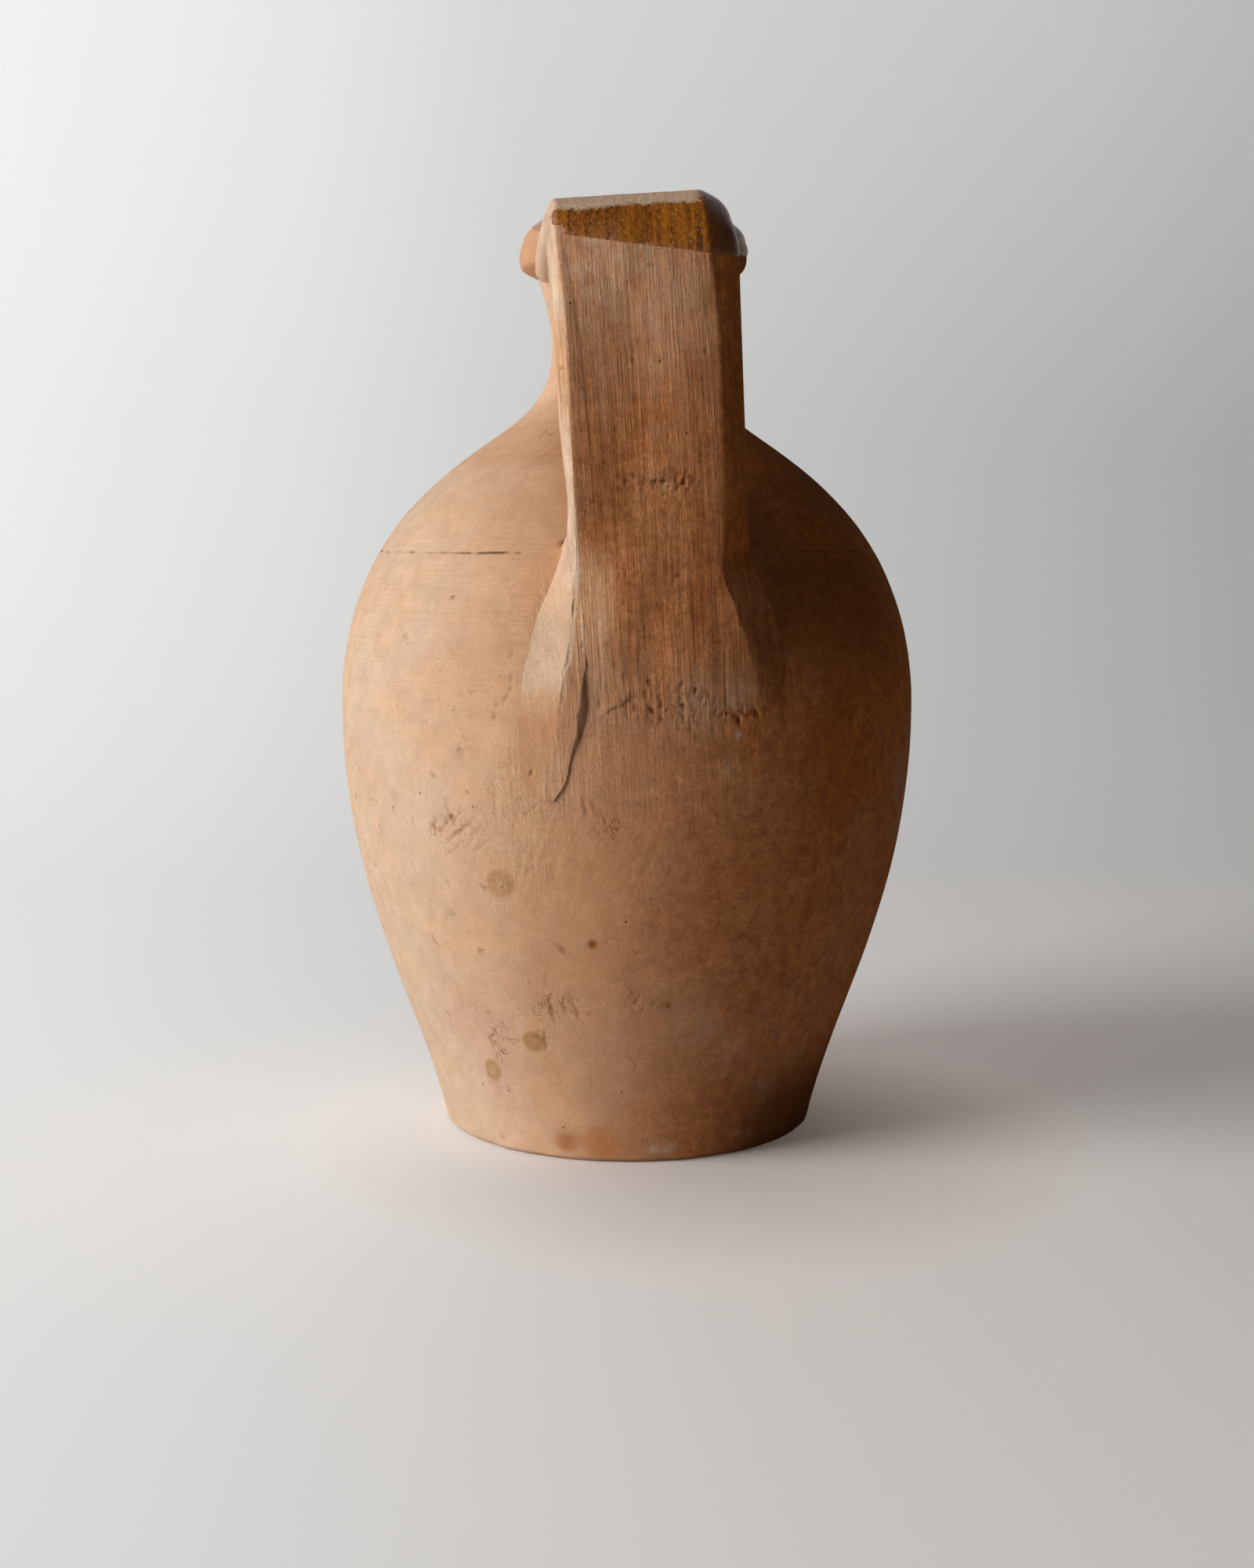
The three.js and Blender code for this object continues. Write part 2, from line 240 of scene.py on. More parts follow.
def heights_between(low, high, step):
    """Heights on the outer line at about equal steps along it."""
    start, end = np.interp([low, high], OUTLINE[:, 1], OUTLINE_RUN)
    count = max(2, round((end - start) / step) + 1)
    heights = np.interp(np.linspace(start, end, count), OUTLINE_RUN, OUTLINE[:, 1])
    heights[0], heights[-1] = low, high
    return heights


def bearings(count, front_share=0.6, front=math.radians(68)):
    """Bearings round the body, most of them on the front."""
    phi = np.linspace(-math.pi, math.pi, 4000)
    on_front = ease(np.abs(phi), front + 0.25, front - 0.25)
    density = front_share / (2 * front) * on_front + (1 - front_share) / (2 * math.pi)
    run = np.concatenate([[0], np.cumsum((density[1:] + density[:-1]) / 2)])
    return np.interp(np.arange(count) / count, run / run[-1], phi)


# Pits on the body: bearing, height, length, width, depth and slant in degrees from level
BODY_PITS = [
    (-40.7, 152, 0.8, 0.5, 0.45, 10),
    (-17.6, 166, 1.1, 0.55, 0.7, 20),
    (-11.1, 63.7, 0.9, 0.9, 0.15, 0),
    (16, 117.9, 0.7, 0.7, 0.15, 0),
    (-25.5, 139.0, 0.8, 0.45, 0.2, 80),
    (-25.4, 132.5, 1.0, 0.45, 0.25, 75),
    (-25.5, 129.5, 0.9, 0.45, 0.3, 60),
    (-26.3, 127.3, 0.9, 0.5, 0.3, 45),
    (-28.1, 125.2, 0.7, 0.45, 0.25, 50),
    (-28.6, 122.5, 0.9, 0.6, 0.3, 70),
    (-21.5, 108.4, 0.8, 0.5, 0.4, 60),
    (-21.0, 99.9, 0.7, 0.45, 0.25, 40),
    (-22.8, 97.7, 0.7, 0.45, 0.25, 70),
    (19.2, 113.6, 0.55, 0.5, 0.4, 30),
    (0.4, 124.2, 1.2, 0.5, 0.55, 120),
    (6.1, 125.4, 1.0, 0.5, 0.5, 120),
    (13.4, 123.3, 1.4, 0.45, 0.5, 20),
    (16.1, 121.6, 1.2, 0.5, 0.5, 100),
    (19.6, 123.3, 1.8, 0.5, 0.55, 117),
    (23.3, 106.0, 0.5, 0.5, 0.35, 0),
    (-3.4, 51.5, 0.6, 0.5, 0.2, 40),
    (-2.1, 47.8, 0.8, 0.5, 0.25, 60),
    (-0.5, 45.6, 0.7, 0.5, 0.2, 20),
    (1.9, 47.2, 0.6, 0.5, 0.2, 50),
    (5.2, 46.4, 0.6, 0.6, 0.25, 0),
    (-30.4, 79.7, 0.6, 0.4, 0.2, 30),
    (-28.7, 78.2, 0.6, 0.4, 0.2, 70),
]
# Furrows scraped into the soft belly: from bearing and height, to bearing and height, width and depth
FURROWS = [
    (-32.0, 94.5, -35.0, 91.3, 0.5, 0.2),
    (-34.0, 95.6, -38.5, 90.5, 0.5, 0.24),
    (-36.5, 94.0, -40.5, 89.0, 0.5, 0.2),
    (-44.5, 93.3, -41.2, 90.9, 0.5, 0.24),
    (-42.4, 95.8, -44.6, 91.5, 0.5, 0.24),
    (-38.5, 96.5, -41.0, 93.2, 0.5, 0.26),
    (-37.2, 89.4, -41.0, 85.5, 0.5, 0.2),
    (-31.0, 90.6, -34.6, 87.0, 0.5, 0.16),
    (-40.0, 97.6, -38.2, 94.8, 0.5, 0.22),
    (-21.7, 47.1, -20.8, 40.7, 0.55, 0.28),
    (-24.3, 45.8, -21.1, 45.1, 0.5, 0.22),
    (-17.9, 49.3, -14.6, 43.8, 0.5, 0.24),
    (-20.3, 49.6, -23.2, 44.9, 0.5, 0.24),
    (-16.7, 45.4, -14.9, 42.6, 0.5, 0.22),
    (-18.9, 47.6, -17.6, 43.6, 0.5, 0.24),
    (-36.5, 38.5, -40.1, 33.6, 0.5, 0.26),
    (-39.5, 33.7, -35.7, 29.0, 0.5, 0.28),
    (-35.1, 33.9, -30.2, 35.1, 0.5, 0.16),
    (-40.3, 34.6, -39.0, 30.8, 0.5, 0.24),
    (-24.0, 38.9, -23.9, 32.8, 0.5, 0.2),
    (-15.7, 31.9, -7.2, 33.2, 0.5, 0.1),
    (-3.5, 32.8, -1.4, 27.6, 0.5, 0.12),
    (-19.1, 63.8, -16.5, 61.4, 0.5, 0.22),
    (-12.4, 103.0, -11.2, 98.0, 0.5, 0.22),
    (-10.8, 102.0, -9.2, 97.5, 0.5, 0.26),
    (-9.2, 100.0, -7.6, 95.0, 0.5, 0.24),
    (-7.5, 97.0, -5.2, 94.0, 0.5, 0.18),
    (-8.6, 94.5, -5.6, 92.0, 0.5, 0.16),
]


def scattered_pits(count=40, seed=11):
    """Small pits where grit or a bubble broke out."""
    draw = np.random.default_rng(seed)
    for _ in range(count):
        size = draw.uniform(0.4, 0.55)
        bearing, height = draw.uniform(-180, 180), draw.uniform(4, 198)
        yield bearing, height, size * draw.uniform(1, 1.5), size, draw.uniform(0.05, 0.2), draw.uniform(0, 90)


def furrow_marks():
    """The furrows as long pits, each of two pieces that don't quite line up."""
    draw = np.random.default_rng(12)
    for start, high, end, low, width, depth in FURROWS:
        for share in (0.27, 0.73):
            height = lerp(high, low, share) + draw.uniform(-0.3, 0.3)
            across = math.radians(end - start) * wall_radius(height)
            long = 0.25 * math.hypot(across, low - high)
            slant = math.degrees(math.atan2(low - high, across)) + draw.uniform(-16, 16)
            yield lerp(start, end, share), height, long, width, depth * draw.uniform(0.7, 1.2), slant


# Crumbs torn from the end of the strap: bearing, height, spread across and up, number and slant
TORN_PATCHES = [
    (1.0, 124.6, 6.0, 1.8, 36, 115),
    (8.5, 122.4, 4.0, 1.6, 18, 100),
    (17.5, 122.6, 3.4, 1.4, 12, 115),
]


def torn_marks():
    """Short marks where the end of the strap tore off along the belly."""
    draw = np.random.default_rng(13)
    for bearing, height, across, up, count, slant in TORN_PATCHES:
        for _ in range(count):
            place = bearing + math.degrees(draw.normal(0, across) / BELLY_RADIUS)
            size = (draw.uniform(0.5, 1.3), draw.uniform(0.36, 0.5), draw.uniform(0.12, 0.36))
            yield (place, height + draw.normal(0, up), *size, slant + draw.normal(0, 32))


BODY_MARKS = [*BODY_PITS, *furrow_marks(), *scattered_pits(), *torn_marks()]


def carved(across, up, marks):
    """Depth of all the marks at places given in millimetres, each with a low burr on one side."""
    depth = np.zeros(np.broadcast(across, up).shape)
    for middle, height, length, width, deep, slant in marks:
        near = (np.abs(across - middle) < 3 * length + 2) & (np.abs(up - height) < 3 * length + 2)
        if not near.any():
            continue
        a, b = (np.broadcast_to(x, near.shape)[near] for x in (across - middle, up - height))
        c, s = math.cos(math.radians(slant)), math.sin(math.radians(slant))
        lengthwise, crosswise = a * c + b * s, b * c - a * s
        cut = np.exp(-((lengthwise / length) ** 2) - (crosswise / width) ** 2)
        burr = np.exp(-((lengthwise / length) ** 2) - ((crosswise + 1.6 * width) / width) ** 2)
        depth[near] += deep * (cut - 0.3 * burr)
    return depth


def body_carved(phi, z):
    marks = [(math.radians(m[0]) * wall_radius(m[1]), *m[1:]) for m in BODY_MARKS]
    return carved(phi * wall_radius(z), z, marks)


def seam_open(phi, z):
    """Where the luting seam gapes, from 0 to 1: a fine broken line, plainest left and right of the handle."""
    degrees = np.degrees(phi)

    def wander(size, seed):
        return round_noise(phi, 0 * z, size, 1, seed)

    broken = ease(wander(9, 21) + 0.7 * wander(3.2, 20), -0.35, 0.5)
    plain = 0.3 + 0.6 * np.max(
        [bump(degrees, -30, 17), bump(degrees, -72, 26), 0.55 * bump(degrees, 50, 26)], axis=0
    )
    line = SEAM_HEIGHT + 0.55 + 0.22 * wander(30, 22) + 0.14 * wander(6, 23)
    return plain * (0.12 + 0.88 * broken) * bump(z, line, 0.3)


def seam_depth(phi, z):
    degrees = np.degrees(phi)
    second = bump(z, SEAM_HEIGHT + 3.2, 0.5) * band(degrees, 16, 26, 48, 60)
    return 0.42 * seam_open(phi, z) + 0.12 * second


def root_zone(phi, z, wide=34):
    """Where the strap's root was pressed on, which leaves the belly there as it was turned."""
    return bump(np.degrees(phi), 2, wide) ** 2 * band(z, 84, 104, 172, 186)


def wipe_zone(phi, z):
    """Where the root of the strap was wiped downwards onto the belly."""
    degrees = np.degrees(phi)
    left = lerp(-33, -21.5, ease(z, 95, 130))
    across = ease(degrees, left - 3, left + 2) * ease(degrees, 36, 22)
    return across * band(z, 82, 110, 150, 164)


def slanted_wipes(phi, z):
    """Where the hand wiped the belly down and to the left, below the root."""
    degrees = np.degrees(phi)
    left = bump(degrees, -23, 10) * bump(z, 85, 15)
    return np.maximum(left, 0.6 * bump(degrees, -1, 5) * bump(z, 83, 10))


def combing(phi, z):
    """How plainly the wheel lines stand out: on the upper half, away from the handle's root."""
    upper = ease(z, 112, 132) * (1 - 0.6 * ease(z, 184, 196))
    return (0.14 + 0.86 * upper) * (1 - wipe_zone(phi, z))


def body_relief(phi, z):
    """What the hand, the wheel and the years add to the turned line."""
    wheel = z + 1.2 * np.sin(phi)
    combed = combing(phi, z)
    wiped = wipe_zone(phi, z)
    relief = 0.25 * np.cos(2 * (phi - 0.6)) + 0.3 * cloud(phi, z, 48, 31)
    relief *= 1 - root_zone(phi, z)
    for depth, wide, tall, seed in [(0.08, 260, 9, 34), (0.022, 130, 3.4, 35), (0.01, 60, 1.7, 36)]:
        relief += depth * combed * round_noise(phi, wheel, wide, tall, seed)
    relief += 0.03 * wiped * round_noise(phi + 0.0012 * z, z, 2.4, 34, 37)
    relief += 0.05 * wiped * round_noise(phi, z, 7, 40, 38)
    strokes = noise((phi * BELLY_RADIUS - 0.4 * z) / 1.1, z / 12, 40)
    relief += 0.085 * slanted_wipes(phi, z) * strokes
    relief -= seam_depth(phi, z) + body_carved(phi, z)
    foot_edge = FOOT_CHAMFER * np.clip(1 - z / FOOT_CHAMFER, 0, 1) ** 2
    return relief - foot_edge - 0.3 * ease(z, 5, 0) * round_noise(phi, z, 9, 6, 39)


def round_axis(phi, radius, z):
    """Points at a radius round the leaning axis."""
    z = np.broadcast_to(z, np.broadcast(phi, radius, z).shape)
    return np.stack([radius * np.sin(phi) + lean(z), -radius * np.cos(phi), z], -1)


def body_point(phi, z, off=0.0):
    """Points of the body's skin, or a distance off it."""
    return round_axis(phi, wall_radius(z) + body_relief(phi, z) + off, z)


def inner_point(z, wall):
    """The place in (radius, height) that lies a wall's thickness inside the outer line."""
    slope = wall_slope(z)
    long = math.hypot(1, slope)
    return wall_radius(z) - wall / long, z + wall * slope / long


floor_edge = (wall_radius(FLOOR) - WALL, FLOOR)
foot_inside = (FOOT_RADIUS - WALL, 0)
seam_top = SEAM_HEIGHT + SEAM_WIDTH
belly_inside = [floor_edge, *(inner_point(z, WALL) for z in np.linspace(24, SEAM_HEIGHT, 14))]
shoulder_inside = [
    *(inner_point(z, WALL) for z in np.linspace(seam_top, 193, 7)),
    inner_point(NECK_ROOT_HEIGHT - 0.5, NECK_WALL),
]
neck_heights = np.linspace(207, NECK_TOP_HEIGHT - 0.5, 8)
neck_inside = [shoulder_inside[-1], *(inner_point(z, NECK_WALL) for z in neck_heights)]


# Node materials


class Value:
    """An output of a node, which is reckoned with like a number."""

    def __init__(self, nodes, socket):
        self.nodes = nodes
        self.socket = socket

    def math(self, operation, a, b=0.0):
        return self.nodes.add("ShaderNodeMath", {0: a, 1: b}, 0, operation=operation)

    def __add__(self, other):
        return self.math("ADD", self, other)

    def __sub__(self, other):
        return self.math("SUBTRACT", self, other)

    def __mul__(self, other):
        return self.math("MULTIPLY", self, other)

    def __abs__(self):
        return self.math("ABSOLUTE", self)

    __radd__ = __add__
    __rmul__ = __mul__

    def max(self, other):
        return self.math("MAXIMUM", self, other)

    def min(self, other):
        return self.math("MINIMUM", self, other)

    def spread(self, low, high, to_low=0.0, to_high=1.0):
        """The value carried over from one range to another, and kept within it."""
        inputs = {"Value": self, "From Min": low, "From Max": high, "To Min": to_low, "To Max": to_high}
        return self.nodes.add("ShaderNodeMapRange", inputs, "Result")


class Nodes:
    """The nodes of a material or a world."""

    def __init__(self, owner):
        owner.use_nodes = True
        self.owner = owner
        self.tree = owner.node_tree

    def put(self, value, socket):
        """Gives an input of a node its number or its link."""
        if isinstance(value, Value):
            self.tree.links.new(value.socket, socket)
        else:
            socket.default_value = value

    def add(self, kind, inputs, *outputs, **settings):
        """Adds a node with its inputs and settings, and gives the outputs that are named."""
        made = self.tree.nodes.new(kind)
        for key, value in settings.items():
            setattr(made, key, value)
        for key, value in inputs.items():
            self.put(value, made.inputs[key])
        found = [Value(self, made.outputs[key]) for key in outputs]
        return found if len(found) > 1 else found[0]

    def surface(self, inputs):
        """Sets inputs of the material's shader and gives the material."""
        for key, value in inputs.items():
            self.put(value, self.tree.nodes["Principled BSDF"].inputs[key])
        return self.owner

    def mix(self, share, a, b, blend="MIX"):
        """A colour mix. Inputs 0, 6 and 7 are the factor and the two colours."""
        a, b = (x if isinstance(x, Value) else (*x, 1) for x in (a, b))
        return self.add("ShaderNodeMix", {0: share, 6: a, 7: b}, 2, data_type="RGBA", blend_type=blend)

    def tinted(self, colour, by):
        return self.mix(1.0, colour, by, "MULTIPLY")

    def shaded(self, colour, value, depth, weights=(0.8, 1.05, 1.3)):
        """A colour that noise about its middle darkens and reddens, or lightens, by so much."""
        channels = [value.spread(0.25, 0.75, 1 - depth * w, 1 + depth * w) for w in weights]
        return self.tinted(colour, self.add("ShaderNodeCombineColor", dict(enumerate(channels)), 0))

    def mark(self, name):
        return self.add("ShaderNodeAttribute", {}, "Fac", attribute_name=name)

    def ramp(self, value, stops):
        colour = self.add("ShaderNodeValToRGB", {"Fac": value}, "Color")
        elements = colour.socket.node.color_ramp.elements
        while len(elements) < len(stops):
            elements.new(0.5)
        for element, (place, tone) in zip(elements, stops):
            element.position = place
            element.color = (*tone, 1)
        return colour

    def place(self):
        return self.add("ShaderNodeTexCoord", {}, "Object")

    def rays(self):
        """Whether the camera looks at a place straight, in a mirror or through a glass."""
        return self.add("ShaderNodeLightPath", {}, "Is Camera Ray", "Is Glossy Ray", "Is Transmission Ray")

    def field(self, size, detail=3.0, roughness=0.55, stretch=(1, 1, 1), turn=0, warp=0.0):
        """Noise with bumps of a size in millimetres, times a stretch along axes turned by degrees."""
        place = self.place()
        if turn:
            inputs = {"Vector": place, "Rotation": (0, math.radians(turn), 0)}
            place = self.add("ShaderNodeMapping", inputs, "Vector")
        scale = tuple(1 / (MM * size * s) for s in stretch)
        place = self.add("ShaderNodeMapping", {"Vector": place, "Scale": scale}, "Vector")
        inputs = {"Vector": place, "Scale": 1.0, "Detail": detail, "Roughness": roughness, "Distortion": warp}
        return self.add("ShaderNodeTexNoise", inputs, "Fac")

    def specks(self, size, share, radius):
        """Specks in a share of cells of a size in millimetres, with a radius in parts of a cell."""
        inputs = {"Vector": self.place(), "Scale": 1 / (MM * size), "Randomness": 1.0}
        distance, colour = self.add("ShaderNodeTexVoronoi", inputs, "Distance", "Color")
        chance = self.add("ShaderNodeSeparateColor", {"Color": colour}, 0)
        return distance.spread(radius * 1.5, radius * 0.7) * chance.math("LESS_THAN", chance, share)

    def bumped(self, heights):
        """A normal from fields, each with its depth in millimetres."""
        inputs = {}
        for height, depth in heights:
            inputs |= {"Height": height, "Strength": 1.0, "Distance": depth * MM}
            inputs["Normal"] = self.add("ShaderNodeBump", inputs, "Normal")
        return inputs["Normal"]


# Clay colours from pale to deep, which carry painted light on the side towards the lamp and painted shade on
# the side away from it
CLAY_TONES = [
    (0.0, (0.7, 0.5, 0.35)),
    (0.15, (0.695, 0.44, 0.283)),
    (0.3, (0.635, 0.37, 0.213)),
    (0.55, (0.54, 0.26, 0.128)),
    (0.78, (0.5, 0.192, 0.072)),
    (1.0, (0.45, 0.136, 0.026)),
]
# Slow changes of hue that multiply the tone, from orange to mauve
CLAY_HUES = [(0.36, (1.04, 0.985, 0.93)), (0.5, (1.0, 1.0, 1.0)), (0.64, (0.985, 0.98, 1.02))]
EMBER_CLAY = (0.56, 0.24, 0.1)
BLOOM = (0.72, 0.56, 0.42)
# Dark brown of soil blotches and pinholes, and of painted shade
SOIL_AND_SHADE = (0.16, 0.05, 0.01)
RUST = (0.27, 0.062, 0.006)
SCRAPED_CLAY = (0.32, 0.11, 0.03)
GLAZE_FILM = (0.67, 0.58, 0.36)
GLAZE_DUST = (0.66, 0.33, 0.07)


def clay():
    """Bare fired clay. Attributes tell how each place was fired, drawn, scuffed and stained, and where light
    and shade are painted into its colour.
    """
    n = Nodes(bpy.data.materials.new("clay"))
    # The tone ramp carries painted light on the side towards the lamp and painted shade on the side away from
    # it
    tone_and_painted_light, pulled = n.mark("tone_and_painted_light"), n.mark("pulled")
    colour = n.ramp(tone_and_painted_light + n.field(24, 4).spread(0.3, 0.7, -0.07, 0.07), CLAY_TONES)
    colour = n.mix(n.mark("ember"), colour, EMBER_CLAY)
    colour = n.tinted(colour, n.ramp(n.field(26, 4, 0.6), CLAY_HUES))
    level = lerp(0.5, n.field(1.0, 4, 0.65, (22, 22, 0.42), warp=0.2), 0.15)
    long_pulls = n.field(1.0, 3, 0.6, (0.95, 30, 26), 4, warp=0.35)
    short_pulls = n.field(1.0, 4, 0.66, (0.48, 30, 9), 3, warp=0.45)
    streaks = lerp(level, lerp(long_pulls, short_pulls, 0.5), pulled)
    streaks = lerp(0.5, streaks, n.mark("drawn"))
    mottle = n.field(6, 5, 0.62)
    grain = n.field(0.45, 3, 0.65)
    deep = tone_and_painted_light.spread(0.45, 0.8)
    coarse = lerp(0.25, 1.0, (pulled * 0.5).max(deep))
    crumbs = lerp(0.5, n.field(1.0, 4, 0.75), coarse)
    cloudy = lerp(0.5, n.field(3, 4, 0.65), deep)
    for value, depth in [(streaks, 0.6), (mottle, 0.14), (grain, 0.13), (crumbs, 0.26), (cloudy, 0.3)]:
        colour = n.shaded(colour, value, depth)
    colour = n.mix(n.mark("bloom") * n.field(5, 5, 0.7).spread(0.35, 0.62), colour, BLOOM)
    blotches = n.field(4.5, 4, 0.65).spread(0.6, 0.74) * n.field(36, 2).spread(0.46, 0.62)
    colour = n.mix(blotches * 0.55, colour, SOIL_AND_SHADE)
    pinholes = n.specks(7.5, 0.4, 0.035)
    colour = n.mix(pinholes * 0.8, colour, SOIL_AND_SHADE)
    wiggles = abs(n.field(2.4, 2, 0.5) - 0.5)
    scratches = wiggles.spread(0.06, 0.015) * n.field(3.1, 3, 0.6).spread(0.44, 0.54)
    scuffs = n.mark("scuff") * scratches
    colour = n.mix(scuffs * 0.4, colour, SCRAPED_CLAY)
    colour = n.mix(n.mark("rust"), colour, RUST)
    # Painted shade darkens the clay towards dark brown
    colour = n.mix(n.mark("painted_shade"), colour, SOIL_AND_SHADE)
    film = n.mark("film") * n.field(1.6, 4, 0.7).spread(0.3, 0.7, 0.6, 1.2)
    reliefs = [(streaks, 0.68), (mottle, 0.12), (crumbs, 0.42), (grain, 0.12)]
    holes = [(pinholes, -0.2), (scuffs, -0.2)]
    return n.surface(
        {
            "Base Color": n.mix(film, colour, n.tinted(colour, GLAZE_FILM)),
            "Roughness": mottle.spread(0.3, 0.7, 0.82, 0.95) - film * 0.35,
            "Specular IOR Level": 0.06,
            "Normal": n.bumped([*reliefs, *holes]),
        }
    )


def slip():
    """The line of slip in the seam: clay that is darker where the seam gapes, with painted shade in the gap.
    """
    n = Nodes(bpy.data.materials.new("slip"))
    # Tone with painted light and shade as on the body, painted shade, and the darkest painted shade in the
    # gap where the seam gapes
    colour = n.shaded(n.ramp(n.mark("tone_and_painted_light"), CLAY_TONES), n.field(3, 5), 0.14)
    colour = n.mix(n.mark("painted_shade"), colour, SOIL_AND_SHADE)
    gap_shade = n.ramp(n.field(2.5, 5), [(0.3, (0.06, 0.028, 0.013)), (0.7, (0.2, 0.1, 0.05))])
    return n.surface(
        {
            "Base Color": n.mix(n.mark("open"), colour, gap_shade),
            "Roughness": 0.95,
            "Specular IOR Level": 0.2,
            "Normal": n.bumped([(n.field(0.6, 4), 0.12)]),
        }
    )


def honey_glaze(name, thin, thick, streak, wear_and_reflection_tone):
    """Clear brown glaze over clay: mottled, paler where it is thin, paler and rougher where there is wear or
    a painted reflection, and darker under painted shade.
    """
    n = Nodes(bpy.data.materials.new(name))
    runs = n.field(1.0, 4, 0.6, streak)
    clots = n.field(1.1, 5, 0.75)
    colour = n.ramp(runs * 0.45 + clots * 0.55, [(0.395, thick), (0.605, thin)])
    dust = n.specks(1.5, 0.5, 0.14)
    colour = n.mix(dust * 0.45, colour, GLAZE_DUST)
    # A pale, rough colour for wear of the glaze and for a painted reflection of the pale backdrop
    wear_and_painted_reflection = n.mark("wear_and_painted_reflection")
    wear_and_painted_reflection = (wear_and_painted_reflection + clots.spread(0.3, 0.7, -0.45, 0.45)).spread(0.35, 0.75) * wear_and_painted_reflection
    colour = n.mix(wear_and_painted_reflection, colour, n.shaded(wear_and_reflection_tone, n.field(0.9, 4, 0.65), 0.25))
    rough = n.field(0.7, 4, 0.65)
    return n.surface(
        {
            # Painted shade darkens the glaze towards its thick colour
            "Base Color": n.mix(n.mark("painted_shade"), colour, thick),
            "Roughness": rough.spread(0.3, 0.75, 0.16, 0.42) + wear_and_painted_reflection * 0.4,
            "Specular IOR Level": wear_and_painted_reflection.spread(0, 1, 0.5, 0.15),
            "IOR": 1.5,
            "Normal": n.bumped([(runs, 0.1), (rough, 0.18), (dust, 0.14)]),
        }
    )


bare_clay = clay()
seam_clay = slip()
dipped_glaze = honey_glaze(
    "dipped_glaze", (0.46, 0.15, 0.009), (0.11, 0.027, 0.002), (1.6, 26, 26), (0.68, 0.46, 0.315)
)
lining_glaze = honey_glaze(
    "lining_glaze", (0.45, 0.17, 0.025), (0.22, 0.07, 0.01), (20, 20, 4), (0.5, 0.32, 0.2)
)


# Meshes


def grid_quads(rows, columns, closed):
    """Faces between neighbouring rings of points, and between the last and the first if closed."""
    i, j = np.meshgrid(np.arange(rows if closed else rows - 1), np.arange(columns), indexing="ij")
    below, right = (i + 1) % rows, (j + 1) % columns
    corners = [i * columns + j, i * columns + right, below * columns + right, below * columns + j]
    return np.stack(corners, -1).reshape(-1, 4)


def inside_out(places, quads):
    a, b, c, d = (places[quads[:, i]] for i in range(4))
    return (np.cross(b - a, c - a) * a).sum() + (np.cross(c - a, d - a) * a).sum() < 0


def in_scene(name, data):
    made = bpy.data.objects.new(name, data)
    bpy.context.scene.collection.objects.link(made)
    return made


def piece_from(name, places, faces, marks, node, finish):
    """A smooth mesh piece with an attribute for each mark, from places in millimetres."""
    mesh = bpy.data.meshes.new(name)
    mesh.from_pydata((places * MM).tolist(), [], faces)
    for key, values in marks.items():
        attribute = mesh.attributes.new(key, "FLOAT", "POINT")
        attribute.data.foreach_set("value", np.ascontiguousarray(values, np.float32).ravel())
    mesh.shade_smooth()
    mesh.set_sharp_from_angle(angle=math.radians(SHARP_ANGLE))
    mesh.materials.append(finish)
    piece = in_scene(name, mesh)
    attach(piece, "root")
    if node:
        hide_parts(node)


def closed_shell(name, rows, marks, node=None, finish=bare_clay):
    """A piece over rings of points, of which the last meets the first."""
    places = rows.reshape(-1, 3)
    quads = grid_quads(*rows.shape[:2], True)
    if inside_out(places, quads):
        quads = quads[:, ::-1]
    piece_from(name, places, quads.tolist(), marks, node or name, finish)


def capped_tube(name, rows, marks, ends=None):
    """A piece of clay over rings of points, closed at both ends with a fan of faces."""
    count, across = rows.shape[:2]
    places = np.concatenate([rows.reshape(-1, 3), rows[[0, -1]].mean(axis=1) if ends is None else ends])
    marks = {key: np.broadcast_to(v, (count, across)) for key, v in marks.items()}
    marks = {key: np.concatenate([v.ravel(), v[[0, -1]].mean(axis=1)]) for key, v in marks.items()}
    quads = grid_quads(count, across, False)
    j = np.arange(across)
    k = (j + 1) % across
    middle, last = np.full(across, count * across), (count - 1) * across
    fans = [np.stack([middle, k, j], -1), np.stack([middle + 1, last + j, last + k], -1)]
    faces = [quads, *fans]
    if inside_out(places, quads):
        faces = [f[:, ::-1] for f in faces]
    piece_from(name, places, [f for part in faces for f in part.tolist()], marks, name, bare_clay)


# Colour marks on the body

# Stains: bearing, height, size and strength
STAINS = [
    (-54.3, 100.2, 2.0, 0.2),
    (-55.3, 96.1, 1.6, 0.14),
    (-73.6, 109.2, 2.4, 0.2),
    (-47.1, 121, 1.6, 0.16),
    (7.1, 92.5, 2.2, 0.4),
    (25.4, 25.9, 2.6, 0.45),
    (-11.1, 63.7, 1.25, 1.3),
    (-17.9, 62.3, 1.0, 0.4),
    (22.4, 77.3, 1.6, 0.45),
    (43.3, 72, 2.0, 0.45),
    (49.1, 50.9, 1.8, 0.5),
    (49.2, 55.4, 1.5, 0.4),
    (20.3, 64.8, 1.8, 0.3),
    (28.8, 83.6, 2.2, 0.25),
    (26.2, 46.6, 2.0, 0.3),
    (14.5, 65.4, 1.8, 0.25),
    (39.4, 85.9, 2.4, 0.3),
    (32, 50.6, 2.6, 0.25),
    (4.8, 46.6, 0.8, 0.6),
    (-12.8, 44.2, 0.8, 0.5),
    (-44.1, 4.1, 1.2, 0.4),
    (-21.9, 5.8, 3.4, 0.55),
    (-12.2, 6.0, 4.6, 0.2),
]
